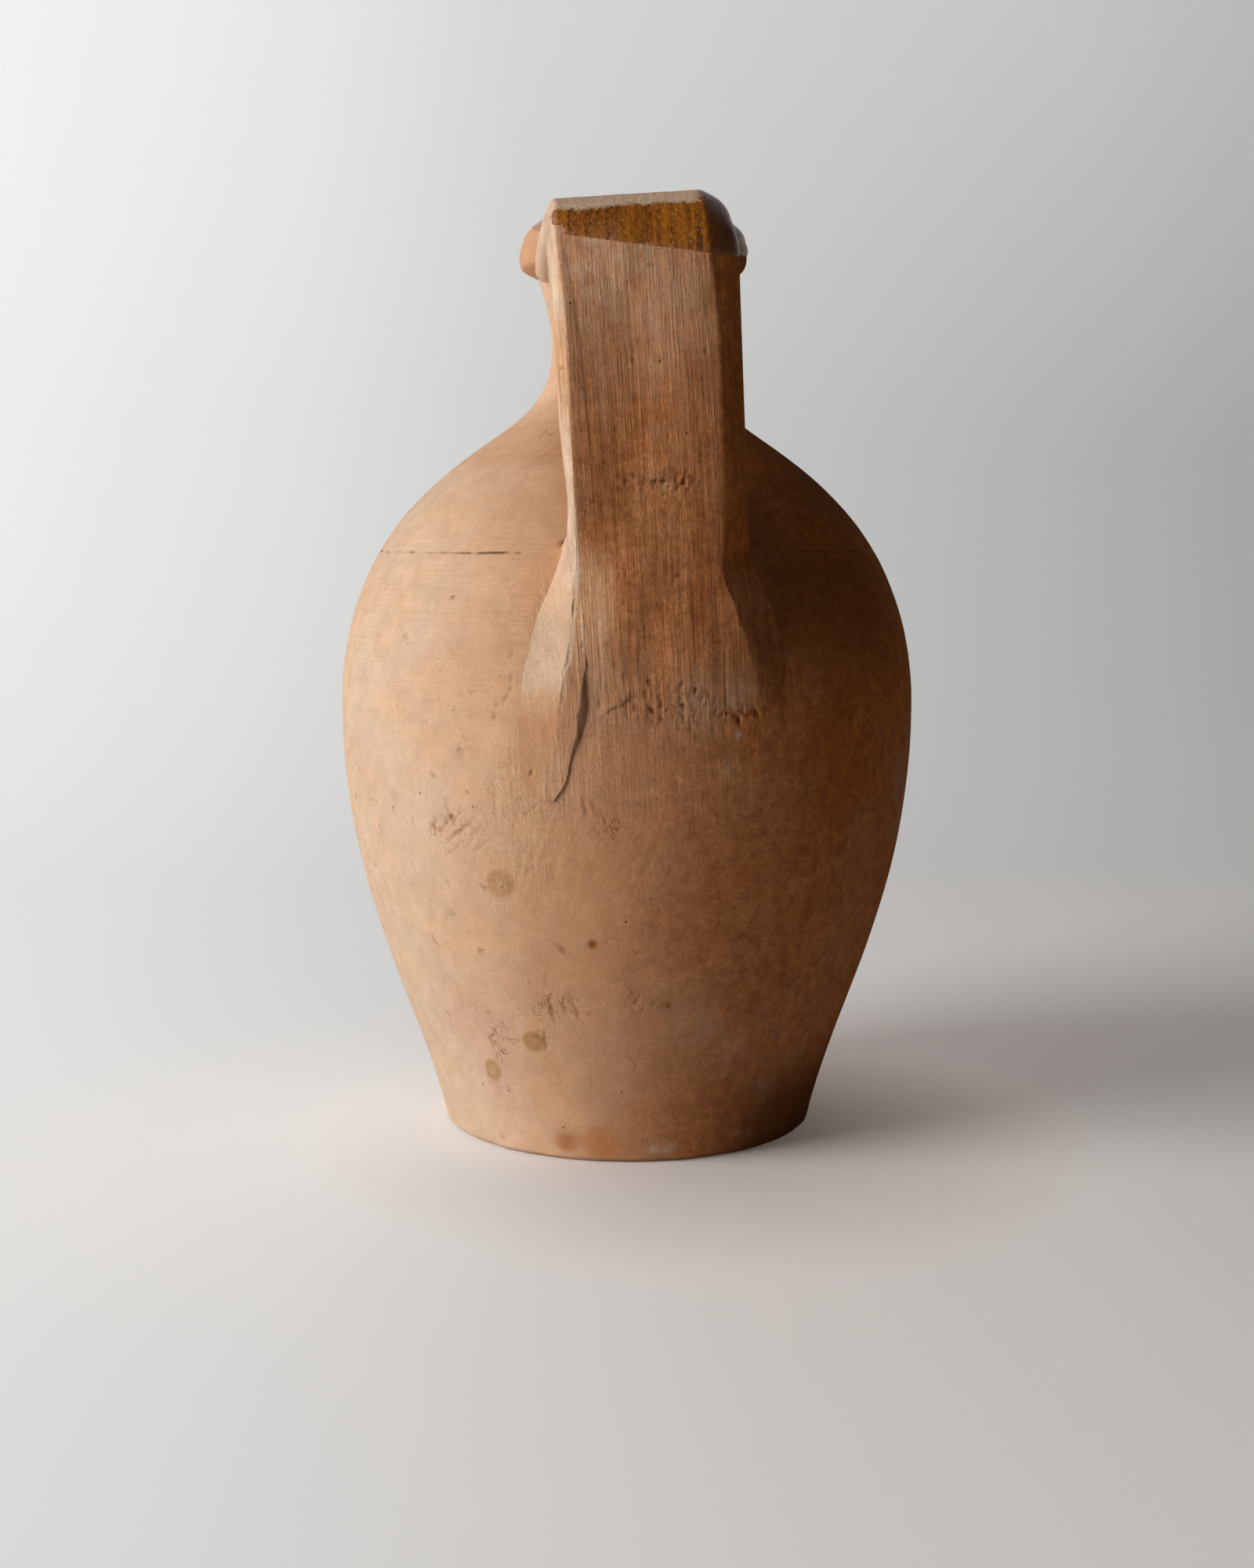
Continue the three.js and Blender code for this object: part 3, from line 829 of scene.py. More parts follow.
# Spots of lime, in the same terms
LIME_MARKS = [
    (3.6, 3.8, 1.6, 0.8),
    (7.7, 4.1, 1.8, 0.7),
    (28.6, 6.4, 1.6, 0.8),
    (33.8, 6.0, 1.4, 0.7),
    (41.3, 4.9, 1.6, 0.8),
    (16, 117.9, 0.9, 1.0),
    (13.5, 110, 3.0, 0.25),
    (9.5, 126.5, 6.0, 0.22),
    (-29.2, 79.2, 0.6, 0.9),
    (17.2, 36.7, 7.0, 0.16),
    (32.6, 44.6, 8.0, 0.12),
    (11.5, 41.2, 7.0, 0.14),
]
# Patches that the fire reddened, in the same terms
EMBERS = [
    (-12.2, 6.0, 4.6, 1.0),
    (-8.0, 4.0, 3.0, 0.6),
    (-21.9, 5.6, 3.6, 0.9),
    (30, 78, 7, 0.4),
    (33, 92, 6, 0.35),
]
# Patches of scuffed clay, in the same terms
SCUFFS = [
    (-41.0, 96.8, 2.6, 1.0),
    (-37.8, 95.8, 2.6, 1.0),
    (-43.2, 90.9, 3.0, 0.9),
    (-36.1, 91.0, 3.0, 0.9),
    (-32.4, 92.4, 2.4, 0.7),
    (-21.0, 46.6, 3.0, 1.0),
    (-23.4, 43.4, 2.6, 0.9),
    (-16.5, 47.0, 3.0, 1.0),
    (-37.6, 36.1, 2.6, 1.0),
    (-35.4, 32.3, 2.6, 0.9),
    (-38.3, 29.3, 2.2, 0.8),
    (-24.3, 36.8, 2.0, 0.9),
    (-32.7, 35.8, 2.2, 0.8),
    (-1.3, 47.8, 3.0, 0.7),
    (-3.6, 51.8, 2.4, 0.6),
    (5.1, 27.9, 4.0, 0.45),
    (-8.0, 93.5, 3.0, 1.0),
    (-6.0, 96.0, 2.5, 0.8),
    (-24.0, 101.0, 3.0, 0.6),
    (-26.8, 92.6, 3.0, 0.5),
]


# Patches of deeper or paler tone: strength, bearing, width, height and spread up and down
BODY_TONE_PATCHES = [
    (-0.12, 4, 14, 40, 16),
    (-0.26, 9, 7, 128, 10),
    (0.1, 1, 4, 129, 7),
    (0.15, 18, 6, 129, 9),
    (0.06, -25, 9, 22, 11),
    (-0.05, -48, 14, 85, 30),
]


def patches(across, z, places):
    return sum(
        strength * bump(across, middle, wide) * bump(z, height, tall)
        for strength, middle, wide, height, tall in places
    )


def spots(phi, z, places):
    total = 0
    for bearing, height, size, strength in places:
        across = (phi - math.radians(bearing)) * wall_radius(height)
        total += strength * np.exp(-((across / size) ** 2) - ((z - height) / size) ** 2)
    return total


def pit_rust(depth):
    """How far the clay in a mark of some depth is reddened."""
    return np.clip(1.5 * depth, 0, 0.75)


def pit_shade(depth):
    """How far painted shade darkens a mark of some depth."""
    return np.clip(1.4 * (depth - 0.2), 0, 0.6)


def body_marks(phi, z):
    """How the clay is coloured and drawn at each place on the body, with painted light and shade."""
    phi, z = np.broadcast_arrays(phi, z)
    degrees = np.degrees(phi)
    # Paler on the left, towards the lamp, and deeper on the right: painted light and shade over the clay's
    # own changes of tone
    tone_and_painted_light = 0.6 + 0.62 * np.sin(phi)
    tone_and_painted_light += 0.14 * ease(z, 184, 189) - 0.1 * ease(z, 50, 15) - 0.06 * bump(degrees, -42, 22)
    front = ease(np.abs(degrees), 165, 100)
    tone_and_painted_light -= 0.25 * front * ease(degrees, 26, 52) * ease(z, 116, 85) * ease(z, 18, 45)
    tone_and_painted_light += 0.06 * bump(degrees, 8, 16) * ease(z, 135, 115)
    tone_and_painted_light += patches(degrees, z, BODY_TONE_PATCHES)
    tone_and_painted_light += 0.1 * cloud(phi, z, 60, 51)
    ember = 0.9 * ease(spots(phi, z, EMBERS) + 0.3 * cloud(phi, z, 6, 52), 0.25, 0.75)
    bloom = 0.3 * ease(z, 60, 12) * ease(cloud(phi, z, 34, 53), -0.1, 0.6)
    bloom += spots(phi, z, LIME_MARKS) + 0.2 * ease(cloud(phi, z, 52, 54), 0.2, 0.7)
    dents = body_carved(phi, z)
    # Painted shade: in the pits and the open seam, along the very foot, low on the right near the floor, high
    # on the right of the shoulder, and on the belly and shoulder right of the strap, in its shadow
    painted_shade = pit_shade(dents) + 0.4 * seam_open(phi, z) + 0.3 * ease(z, 1.8, 0)
    painted_shade += front * ease(degrees, 14, 44) * ease(z, 34, 8)
    painted_shade += 0.35 * front * ease(degrees, 12, 40) * ease(z, 164, 184)
    beside_strap = band(degrees, 14, 27, 52, 70)
    painted_shade += 0.5 * beside_strap * band(z, 122, 148, 158, 168)
    painted_shade += 0.5 * bump(degrees, 26, 8) * band(z, 160, 167, 176, 186)
    rust = pit_rust(dents) + 0.75 * spots(phi, z, STAINS)
    wiped = np.maximum(wipe_zone(phi, z), root_zone(phi, z, 22))
    plain_wipes = lerp(0.45, 0.8, ease(z, 108, 126))
    combed = combing(phi, z) * (1 - 0.35 * ease(z, 160, 172))
    return {
        "tone_and_painted_light": np.clip(tone_and_painted_light, 0, 1),
        "ember": np.clip(ember, 0, 1),
        "bloom": np.clip(bloom, 0, 1),
        "painted_shade": np.clip(painted_shade, 0, 0.9),
        "rust": np.clip(rust, 0, 0.95),
        "scuff": np.clip(spots(phi, z, SCUFFS), 0, 1),
        "pulled": np.maximum(ease(wiped, 0.1, 0.9), 0.7 * slanted_wipes(phi, z)),
        "drawn": np.clip(combed + plain_wipes * wiped + 0.35 * slanted_wipes(phi, z), 0, 1),
    }


# The thrown pieces


def even_bearings(count):
    return np.linspace(-math.pi, math.pi, count, endpoint=False)


def thrown(name, low, high, step, inside, node=None, finish=bare_clay, count=560):
    """A wall of the body between two heights, with a plain inner side."""
    phi = bearings(count)
    z = heights_between(low, high, step)[:, None]
    back = inside[::-1]
    rows = np.concatenate([body_point(phi, z), [round_axis(phi, *place) for place in back]])
    marks = body_marks(phi, np.concatenate([z, [[height] for _, height in back]]))
    marks["open"] = seam_open(phi, rows[..., 2])
    closed_shell(name, rows, marks, node, finish)


def belly_wall(middle=70):
    """The lower half in two bands, each of which is fine enough for its marks and of modest size."""
    low_inside = [place for place in belly_inside if place[1] < middle]
    radii, heights = zip(*belly_inside)
    joint = (np.interp(middle, heights, radii), middle)
    high_inside = [joint, *belly_inside[len(low_inside) :]]
    low_inside = [foot_inside, *low_inside, joint]
    thrown("belly_wall_low", 0, middle, 0.55, low_inside, "belly_wall")
    thrown("belly_wall_high", middle, SEAM_HEIGHT, 0.6, high_inside, "belly_wall")


def base_disc(count=120):
    """The floor of the jug, with the arcs of the cutting wire underneath."""
    phi = even_bearings(count)
    under = [(r, 0) for r in np.linspace(1.5, foot_inside[0], 32)]
    top = [(r, FLOOR) for r in np.linspace(floor_edge[0], 1.5, 12)]
    rows = np.array([round_axis(phi, *place) for place in [*under, *top]])
    below = rows[: len(under)]
    x, y = below[..., 0], below[..., 1]
    below[..., 2] = 0.22 + 0.14 * np.sin(1.15 * np.hypot(x + 46, y - 8)) + 0.06 * noise(x / 3, y / 3, 61)
    below[-1, :, 2] = 0
    marks = body_marks(np.arctan2(rows[..., 0], -rows[..., 1]), rows[..., 2])
    capped_tube("base_disc", rows, marks, [[0, 0, 0.25], [0, 0, FLOOR]])


def collar_place(t, phi, off=0.0):
    """Points of the rolled collar, from its lower edge at t = 0 to the mouth at t = 1."""
    t, phi = np.broadcast_arrays(t, phi)
    line = spline(COLLAR_LINE, t)
    way = unit(spline(COLLAR_LINE, np.minimum(t + 0.01, 1)) - spline(COLLAR_LINE, np.maximum(t - 0.01, 0)))
    lumps = 0.4 * turn_noise(phi, t * 2.5, 62, 9) + 0.12 * turn_noise(phi, t * 16, 63, 5)
    nick = 1.1 * bump(np.degrees(phi), -97, 4) * bump(t, 0.42, 0.07)
    off = off + ease(t, 0, 0.08) * (lumps - nick)
    radius = line[..., 0] + way[..., 1] * off
    z = line[..., 1] - way[..., 0] * off
    return round_axis(phi, radius, z)


def collar_rim(count=240, rounds=66):
    phi = even_bearings(count)
    t = np.linspace(0, 1, rounds)[:, None]
    rows = np.concatenate([collar_place(t, phi), [round_axis(phi, *neck_inside[-1])]])
    marks = body_marks(phi, rows[..., 2])
    marks["tone_and_painted_light"] = np.minimum(marks["tone_and_painted_light"] + 0.25, 1)
    closed_shell("collar_rim", rows, marks)


def inner_glaze(count=150):
    """The glossy lining, from the middle of the floor to the mouth."""
    phi = even_bearings(count)
    mouth = (COLLAR_LINE[-1][0] - 0.6, COLLAR_LINE[-1][1] - 0.5)
    floor = [(1.5, FLOOR), (24, FLOOR), (floor_edge[0] - 2.5, FLOOR), (floor_edge[0] - 0.4, FLOOR + 1.6)]
    line = [*floor, *belly_inside[1:], *shoulder_inside, *neck_inside[1:], mouth]

    def inset(depth, r, z):
        return r - (depth if r > 2 else 0), z + (depth if z < FLOOR + 2 else -0.4 * depth)

    outer, inner = ([inset(depth, *place) for place in line] for depth in (0.08, 0.7))
    rows = np.array([round_axis(phi, *place) for place in [*outer, *reversed(inner)]])
    inner = rows[len(line) :]
    uneven = 0.12 * turn_noise(phi, inner[..., 2] / 9, 64, 18)
    inner[..., 0] += uneven * np.sin(phi)
    inner[..., 1] -= uneven * np.cos(phi)
    closed_shell("inner_glaze", rows, {}, finish=lining_glaze)


# The strap handle


def strap_spine():
    """The middle of the strap's outer face in (reach, height), from the collar to its end under the root."""
    straight, bend_foot = STRAP_REACH - BEND_RADIUS, STRAP_TOP - BEND_RADIUS
    turn = np.linspace(math.pi / 2, 0, 60)[:, None]
    arc = np.array([straight, bend_foot]) + BEND_RADIUS * np.hstack([np.cos(turn), np.sin(turn)])
    foot = (wall_radius(STRAP_FOOT_HEIGHT) + STRAP_FOOT_PROUD, STRAP_FOOT_HEIGHT)
    pressed = (STRAP_REACH, 166)
    widest = STRAP_REACH + 1.5
    drop = bezier([(STRAP_REACH, bend_foot), (widest, 215), (widest, 185), pressed], 200)
    press = bezier([pressed, (STRAP_REACH - 1, 150), (foot[0] + 0.5, 138), foot], 120)
    tail_height = np.linspace(STRAP_FOOT_HEIGHT, STRAP_TAIL_HEIGHT, 24)[1:]
    tail = np.stack([wall_radius(tail_height) + STRAP_FOOT_PROUD, tail_height], -1)
    start = np.array([(STRAP_START, STRAP_TOP - 2), (STRAP_CLEAR, STRAP_TOP - 0.5), (straight, STRAP_TOP)])
    even = np.linspace(0, 2, 90)
    start = point_at(even, (0, 1, 2), start)
    return np.vstack([start, arc[1:], drop[1:], press[1:], tail])


SPINE = strap_spine()
SPINE_RUN = along(SPINE)
SPINE_WAY = unit(np.gradient(SPINE, SPINE_RUN, axis=0))
SPINE_DROP = SPINE[SPINE_RUN >= SPINE_RUN[SPINE[:, 0].argmax()]][::-1]


def spine_reach(z):
    return np.interp(z, SPINE_DROP[:, 1], SPINE_DROP[:, 0])


def on_face(outwards):
    """1 on the outer face of the strap and 0 on its back."""
    return ease(outwards, -8, -3)


def strap_section(spacing=0.1, softness=3):
    """The outline of the strap's section, across and outwards, closely spaced and softened at its corners."""
    left, right, back = -STRAP_LEFT, STRAP_RIGHT, -STRAP_THICKNESS
    turn = np.linspace(0, math.pi / 2, 12)[:, None]
    left_back = np.hstack([left + BACK_CORNER * (1 - np.sin(turn)), back + BACK_CORNER * (1 - np.cos(turn))])
    left_top = np.array([(left, -LEFT_BEVEL[1]), (left + LEFT_BEVEL[0], 0)])
    t = np.linspace(0, 1, 20)[:, None]
    edge, side = np.array([right - RIGHT_BEVEL[0], 0]), np.array([right, -RIGHT_BEVEL[1]])
    right_top = (1 - t) ** 2 * edge + 2 * t * (1 - t) * ((edge + side) / 2 + RIGHT_BULGE) + t**2 * side
    right_back = (1 - t) ** 2 * side + 2 * t * (1 - t) * np.array([right, back])
    right_back += t**2 * np.array([right - BACK_CORNER, back])
    outline = np.vstack([[(0, back)], left_back, left_top, right_top, right_back, [(0, back)]])
    run = along(outline)
    even = np.linspace(0, run[-1], round(run[-1] / spacing), endpoint=False)
    dense = point_at(even, run, outline)
    weights = np.exp(-0.5 * (np.arange(-3 * softness, 3 * softness + 1) / softness) ** 2)
    weights = weights / weights.sum()
    ahead = np.concatenate([dense[-3 * softness :], dense, dense[: 3 * softness]])
    return np.stack([np.convolve(ahead[:, i], weights, "valid") for i in (0, 1)], -1)


def section_samples(face_step, back_step):
    """Places on the section with their outward directions, close on the outer face and wide on the back."""
    dense = strap_section()
    way = unit(np.roll(dense, -1, axis=0) - np.roll(dense, 1, axis=0))
    out = np.stack([-way[:, 1], way[:, 0]], -1)
    step = lerp(back_step, face_step, ease(dense[:, 1], -STRAP_THICKNESS + 1, -STRAP_THICKNESS + 5))
    run = np.concatenate([[0], np.cumsum(1 / step)])
    count = round(run[-1] * 0.1)
    picked = np.searchsorted(run, np.linspace(0, run[-1], count, endpoint=False))
    return dense[picked], out[picked]


def strap_drift(z):
    return STRAP_LEAN * (STRAP_LEAN_HEIGHT - z)


def belly_reach(x, z):
    """How far the turned belly stands from the middle plane of the jug at a place beside the axis."""
    return np.sqrt(np.maximum(wall_radius(z) ** 2 - x**2, 1))


def pressed_back(x, z):
    """How far the strap, pressed round the belly, falls back beside the middle plane, more so on the left."""
    left, right = (ease(z, start, at) for start, at in zip(PRESSED_FROM, PRESSED_AT))
    pressed = lerp(left, right, ease(x, -4, 4))
    return pressed * (wall_radius(z) - belly_reach(x, z))


def left_turn(across, z):
    """How far the left of the strap's face falls back above the root, where it turns to the left."""
    beside = -8 - across
    ramp_down = (np.sqrt(beside**2 + 6) + beside) / 2
    return 0.16 * ramp_down * band(z, 134, 154, 163, 177)


def right_turn(across, z):
    """How far the right of the strap's face falls back above the root, where it turns to the right."""
    return 0.009 * np.clip(across - 6, 0, 12) ** 2 * band(z, 148, 170, 224, 240)


def torn_line(across):
    """Height of the end of the strap on the belly."""
    places = [-24, -19, -15.5, -12.3, -10.2, -9.4, -8.3, -6, -3.4, -1, 2, 4.7, 8, 10, 14, 18, 24]
    heights = [118, 121, 123.3, 125.6, 125.9, 127.3, 129, 129.5, 128.5, 126.5, 125, 126, 124]
    heights += [122.7, 122.3, 121.1, 122]
    ragged = 0.4 * noise(across / 2.1, 0.5, 71) + 0.3 * noise(across / 0.9, 0.5, 72)
    return np.interp(across, places, heights) + ragged


def settled(across, z):
    """How far the strap's face comes down to the belly above its end."""
    end = torn_line(across)
    return (STRAP_FOOT_PROUD - 0.12) * ease(z, end + 20, end)


def run_out(across, z):
    """The end of the strap: a torn lip left of the middle, and elsewhere a wiped edge that sinks in."""
    end = torn_line(across)
    torn = bump(across, -11.6, 3.8)
    lip = 0.38 * torn * ease(z, end - 0.8, end) * ease(z, end + 5, end + 0.3)
    soft = lerp(9.0, 1.2, torn)
    sunk = 1.5 * ease(z, end + 0.1, end - soft)
    return sunk - lip


# Marks on the strap: across, height, length, width, depth and slant
STRAP_PITS = [
    (-10.2, 160.2, 0.6, 0.4, 0.35, 90),
    (-20.0, 140.6, 0.6, 0.4, 0.3, 50),
    (0.5, 232.5, 1.1, 0.42, 0.25, 20),
    (13.2, 212, 0.6, 0.4, 0.35, 90),
    (3.4, 192, 0.5, 0.4, 0.25, 90),
    (-15.8, 176, 0.5, 0.4, 0.35, 0),
    (6.0, 175.5, 0.6, 0.4, 0.25, 100),
    (-21.8, 208.5, 0.6, 0.5, 0.35, 0),
    (-3.3, 131.5, 0.8, 0.5, 0.7, 125),
    (4.7, 126.1, 1.0, 0.55, 0.9, 120),
    (-2.8, 124.4, 1.0, 0.45, 0.5, 120),
    (15.4, 123.8, 1.4, 0.5, 0.6, 20),
    (18.9, 121.1, 1.0, 0.45, 0.45, 100),
    (24.0, 122.0, 1.8, 0.45, 0.5, 117),
]
# Patches of torn clay: middle across and up, spread across and up, number, length, depth, slant and seed
STRAP_PATCHES = [
    (3.4, 180.8, 5.2, 1.5, 80, 0.7, 0.21, 35, 21),
    (-5.0, 157.0, 4.5, 1.2, 16, 0.8, 0.2, 10, 22),
    (1.0, 127.0, 6.0, 2.4, 40, 0.9, 0.3, 105, 23),
    (18.0, 123.0, 4.0, 1.6, 12, 1.0, 0.3, 80, 24),
]


def strap_marks():
    """Pits and patches of torn clay on the strap."""
    yield from STRAP_PITS
    for middle, height, across, up, count, length, depth, slant, seed in STRAP_PATCHES:
        draw = np.random.default_rng(seed)
        for _ in range(count):
            place = (middle + draw.normal(0, across), height + draw.normal(0, up))
            size = (length * draw.uniform(0.5, 1.4), draw.uniform(0.38, 0.5), depth * draw.uniform(0.4, 1.4))
            yield (*place, *size, slant + draw.normal(0, 35))


STRAP_MARKS = list(strap_marks())


def left_groove(across, z):
    """The groove beside the left edge, which wanders to the right on its way down."""
    place = lerp(-15.6, -18.2, np.clip((z - 190) / 48, 0, 1))
    return bump(across, place, 0.7) * band(z, 168, 200, 236, 240)


def strap_relief(across, z, run, facing):
    """What pulling, pressing and wiping left on the strap, as far as a place faces outwards."""
    lane = across + 0.02 * run
    relief = 0.028 * noise(lane / 1.3, run / 34, 73) + 0.045 * noise(lane / 2.6, run / 60, 74)
    relief += 0.1 * noise(lane / 6, run / 90, 75) + 0.12 * noise(lane / 15, run / 30, 76)
    valley = bump(across, -2.5, 4.6) * band(z, 124, 136, 146, 157)
    fold = bump(z, 156.5 - 0.03 * (across + 5) ** 2, 1.3) * bump(across, -5, 8)
    hollow = bump(across, -18.4, 1.6) * band(z, 190, 225, 236, 241)
    trough = bump(across, -6, 6.5) * band(z, 164, 190, 222, 240)
    relief += 0.25 * fold - 0.16 * left_groove(across, z) - 0.9 * valley - 0.08 * hollow - 0.6 * trough
    worn_left = np.clip(-6 - across, 0, 20) * band(z, 222, 236, 241, 249)
    relief += 0.055 * across * band(z, 196, 222, 239, 247) - 0.14 * worn_left
    relief -= carved(across, z, STRAP_MARKS)
    return relief * facing


def trimmed(across, z):
    """How far to the right the strap's edges stray: wide near the rim on the left, narrow above the root."""
    left = 1.3 * bump(z, 175, 13) * ease(across, -20.2, -23)
    left -= ease(z, 214, 243) * ease(across, -8, -20)
    facet = 2.4 * ease(z, 212, 246) * ease(across, 9, 16.5) * ease(across, 22.5, 17.5)
    corner = 1.3 * ease(z, 233, 249) * ease(across, 17.5, 22.5)
    under_smear = 0.8 * np.maximum(across - 15, 0) * ease(z, 172, 156)
    return left - facet - corner - under_smear


def strap_point(run, across, outwards, off_across=0.0, off_out=0.0, facing=1.0):
    """Points of the strap at a distance along its spine and a place on its section."""
    r, z = (np.interp(run, SPINE_RUN, SPINE[:, i]) for i in (0, 1))
    way_r, way_z = (np.interp(run, SPINE_RUN, SPINE_WAY[:, i]) for i in (0, 1))
    v = outwards + off_out + strap_relief(across, z, run, facing)
    v -= np.where(outwards < -RIGHT_BEVEL[1] - 1, ROOT_SWELL * ease(z, SWELL_FROM, SWELL_FULL), 0)
    u = across + trimmed(across, z) + off_across
    x = u + strap_drift(z)
    reach = r - way_z * v - pressed_back(x, z) - settled(across, z) - run_out(across, z)
    reach -= (left_turn(across, z) + right_turn(across, z)) * np.where(z + 3 < STRAP_TOP, 1, 0)
    reach = np.maximum(reach, belly_reach(x, z) - 4)
    at_collar = np.clip((STRAP_CLEAR - r) / (STRAP_CLEAR - STRAP_START), 0, 1)
    collar_x = np.clip(x - lean(z), 1 - NECK_TOP_RADIUS, NECK_TOP_RADIUS - 1)
    reach += at_collar * (np.sqrt(NECK_TOP_RADIUS**2 - collar_x**2) - STRAP_START)
    roll = STRAP_ROLL * ease(z, ROLL_FROM, ROLL_FULL) * u
    return np.stack([x, -reach, z + way_r * (v + CROWN_RISE) + roll], -1)


def strap_tints(across, z, run, facing):
    """How the clay is coloured on the strap: deeper than the body, greyer near the glaze, with painted light
    on its left edge and painted shade on its right side, in its hollows and in its pits.
    """
    across, z, run, facing = np.broadcast_arrays(across, z, run, facing)
    # The left edge, which faces the lamp, is paler: painted light
    painted_lit_edge = lerp(0.8, 0.24, ease(z, 182, 212)) + 0.25 * ease(z, 180, 168)
    painted_lit_edge += 0.3 * ease(z, 217, 228)
    painted_lit_edge *= ease(-across + 0.6 * ease(z, 178, 168), 19.6, 21.2)
    tone_and_painted_light = 0.63 + 0.09 * ease(z, 205, 182) + 0.07 * ease(z, 178, 165) - painted_lit_edge
    tone_and_painted_light -= 0.06 * ease(z, 212, 226)
    # The right facet, which turns away from the lamp, is deeper: painted shade
    painted_right_shade = lerp(0.25, 0.45, ease(z, 168, 190)) * ease(z, 154, 168)
    tone_and_painted_light += painted_right_shade * ease(across, 15.5, 18.5)
    tone_and_painted_light += patches(across, z, [(0.12, -12, 5, 180, 12), (-0.1, -14, 4, 150, 8)])
    # Paler left of the root, on the side towards the lamp: painted light
    tone_and_painted_light -= 0.38 * ease(across, -7, -16) * ease(z, 170, 156)
    tone_and_painted_light += 0.07 * ease(across, 4, 12) * ease(z, 232, 214)
    tone_and_painted_light += 0.05 * noise(across / 5, run / 60, 81) + 0.05 * noise(across / 14, run / 25, 82)
    body = body_marks(np.arcsin(np.clip((across + strap_drift(z)) / wall_radius(z), -1, 1)), z)
    tone_and_painted_light = lerp(tone_and_painted_light, body["tone_and_painted_light"], ease(z, 150, 118))
    ember = 0.12 * ease(noise(across / 9, run / 22, 83), 0.1, 0.8) * ease(z, 130, 150)
    haze = ease(z, 196, 225) + 2.0 * ease(z, 214, 236) * ease(across, 2, -14)
    haze += 0.5 * bump(across, 1, 5) * ease(z, 170, 200)
    bloom = 0.14 * haze + 0.12 * ease(noise(across / 4, run / 40, 84), 0.2, 0.9)
    bloom = bloom * ease(across, 17, 8) + 0.32 * bump(z, 180.8, 2.0) * bump(across, 3.4, 6.5)
    middle = band(across, -6, 2, 13, 17)
    bloom += middle * body["bloom"] * ease(z, 142, 130)
    dents = carved(across, z, STRAP_MARKS) * (facing > 0.5)
    # Painted shade: in the pits, on the facet and in the groove by the left edge, under the fold and on the
    # left wall of the trough, on the right half of the face, which turns away from the lamp, and on the right
    # bevel
    painted_shade = pit_shade(dents)
    dark_facet = ease(across, -13.5, -16) * ease(across, -20.2, -19.4) * ease(z, 180, 215)
    painted_shade += 0.2 * dark_facet * (1 - 0.6 * ease(z, 218, 230)) + 0.15 * left_groove(across, z)
    painted_shade += patches(across, z, [(0.2, -2, 5, 156, 7), (0.22, -13, 4.5, 174, 13)])
    right_half = ease(across, 5, 11) * ease(z, 220, 205)
    painted_shade += right_half * lerp(0.16, 0.08, ease(z, 165, 180)) * ease(z, 146, 154)
    painted_shade += 0.12 * ease(across, 16, 19) * ease(z, 168, 190)
    return {
        "tone_and_painted_light": np.clip(tone_and_painted_light, 0, 1),
        "ember": np.clip(ember, 0, 1),
        "bloom": np.clip(bloom, 0, 1),
        "painted_shade": np.clip(painted_shade, 0, 0.9),
        "rust": pit_rust(dents),
        "scuff": bump(z, 180.8, 2.6) * bump(across, 3.4, 7),
        "pulled": np.ones(z.shape),
        "drawn": 1 - 0.2 * ease(across, 16, 19),
    }


def strap_handle(step=0.62):
    section, _ = section_samples(0.34, 1.3)
    run = np.linspace(0, SPINE_RUN[-1], round(SPINE_RUN[-1] / step))[:, None]
    facing = on_face(section[:, 1])
    rows = strap_point(run, section[:, 0], section[:, 1], facing=facing)
    z = np.interp(run, SPINE_RUN, SPINE[:, 1])
    marks = strap_tints(section[:, 0], z, run, facing)
    capped_tube("strap_handle", rows, marks)


# Places across the strap whose colour the creases of the smears take: painted light on the left, painted
# shade on the right
LEFT_EDGE_TINT = -20.4
RIGHT_EDGE_TINT = 15.8
# Smears beside the root, from the top down: height, start across and its lift off the strap's face, crease
# across and its lift, foot across, how far the foot may hang behind the face, and the width of the cliff
# at the start
LEFT_SMEAR = [
    (174, -18.4, -1.6, -19.2, -1.9, -20.0, 4, 0.3),
    (169, -18.6, -1.0, -19.8, -1.4, -21.2, 7, 0.3),
    (165, -18.8, -0.5, -20.3, -0.5, -22.8, 14, 0.3),
    (160, -19.0, -0.35, -20.6, -0.12, -24.6, 24, 0.3),
    (155, -19.2, -0.3, -21.0, -0.04, -26.8, 40, 0.3),
    (150, -19.3, -0.3, -21.7, 0.0, -29.4, 40, 0.3),
    (145, -19.3, -0.3, -22.3, 0.0, -32.0, 40, 0.3),
    (140, -19.2, -0.2, -22.9, 0.05, -34.6, 40, 0.3),
    (137, -19.0, 0.1, -23.4, 0.15, -36.0, 40, 0.3),
    (134, -19.4, 0.3, -24.8, 0.4, -37.0, 40, 0.5),
    (130, -20.5, 1.0, -25.2, 0.9, -38.0, 40, 2.0),
    (124, -21.6, 1.55, -25.9, 1.25, -39.0, 40, 3.4),
    (118.5, -22.3, 1.05, -27.2, 0.9, -39.0, 40, 2.1),
    (113, -23.6, 0.48, -28.2, 0.5, -38.5, 40, 0.6),
    (107, -25.1, 0.24, -30.0, 0.2, -37.0, 40, 0.3),
    (103.5, -27.2, 0.14, -30.8, 0.0, -35.0, 40, 0.25),
    (101.5, -28.6, -0.1, -30.6, -0.35, -33.0, 40, 0.2),
]
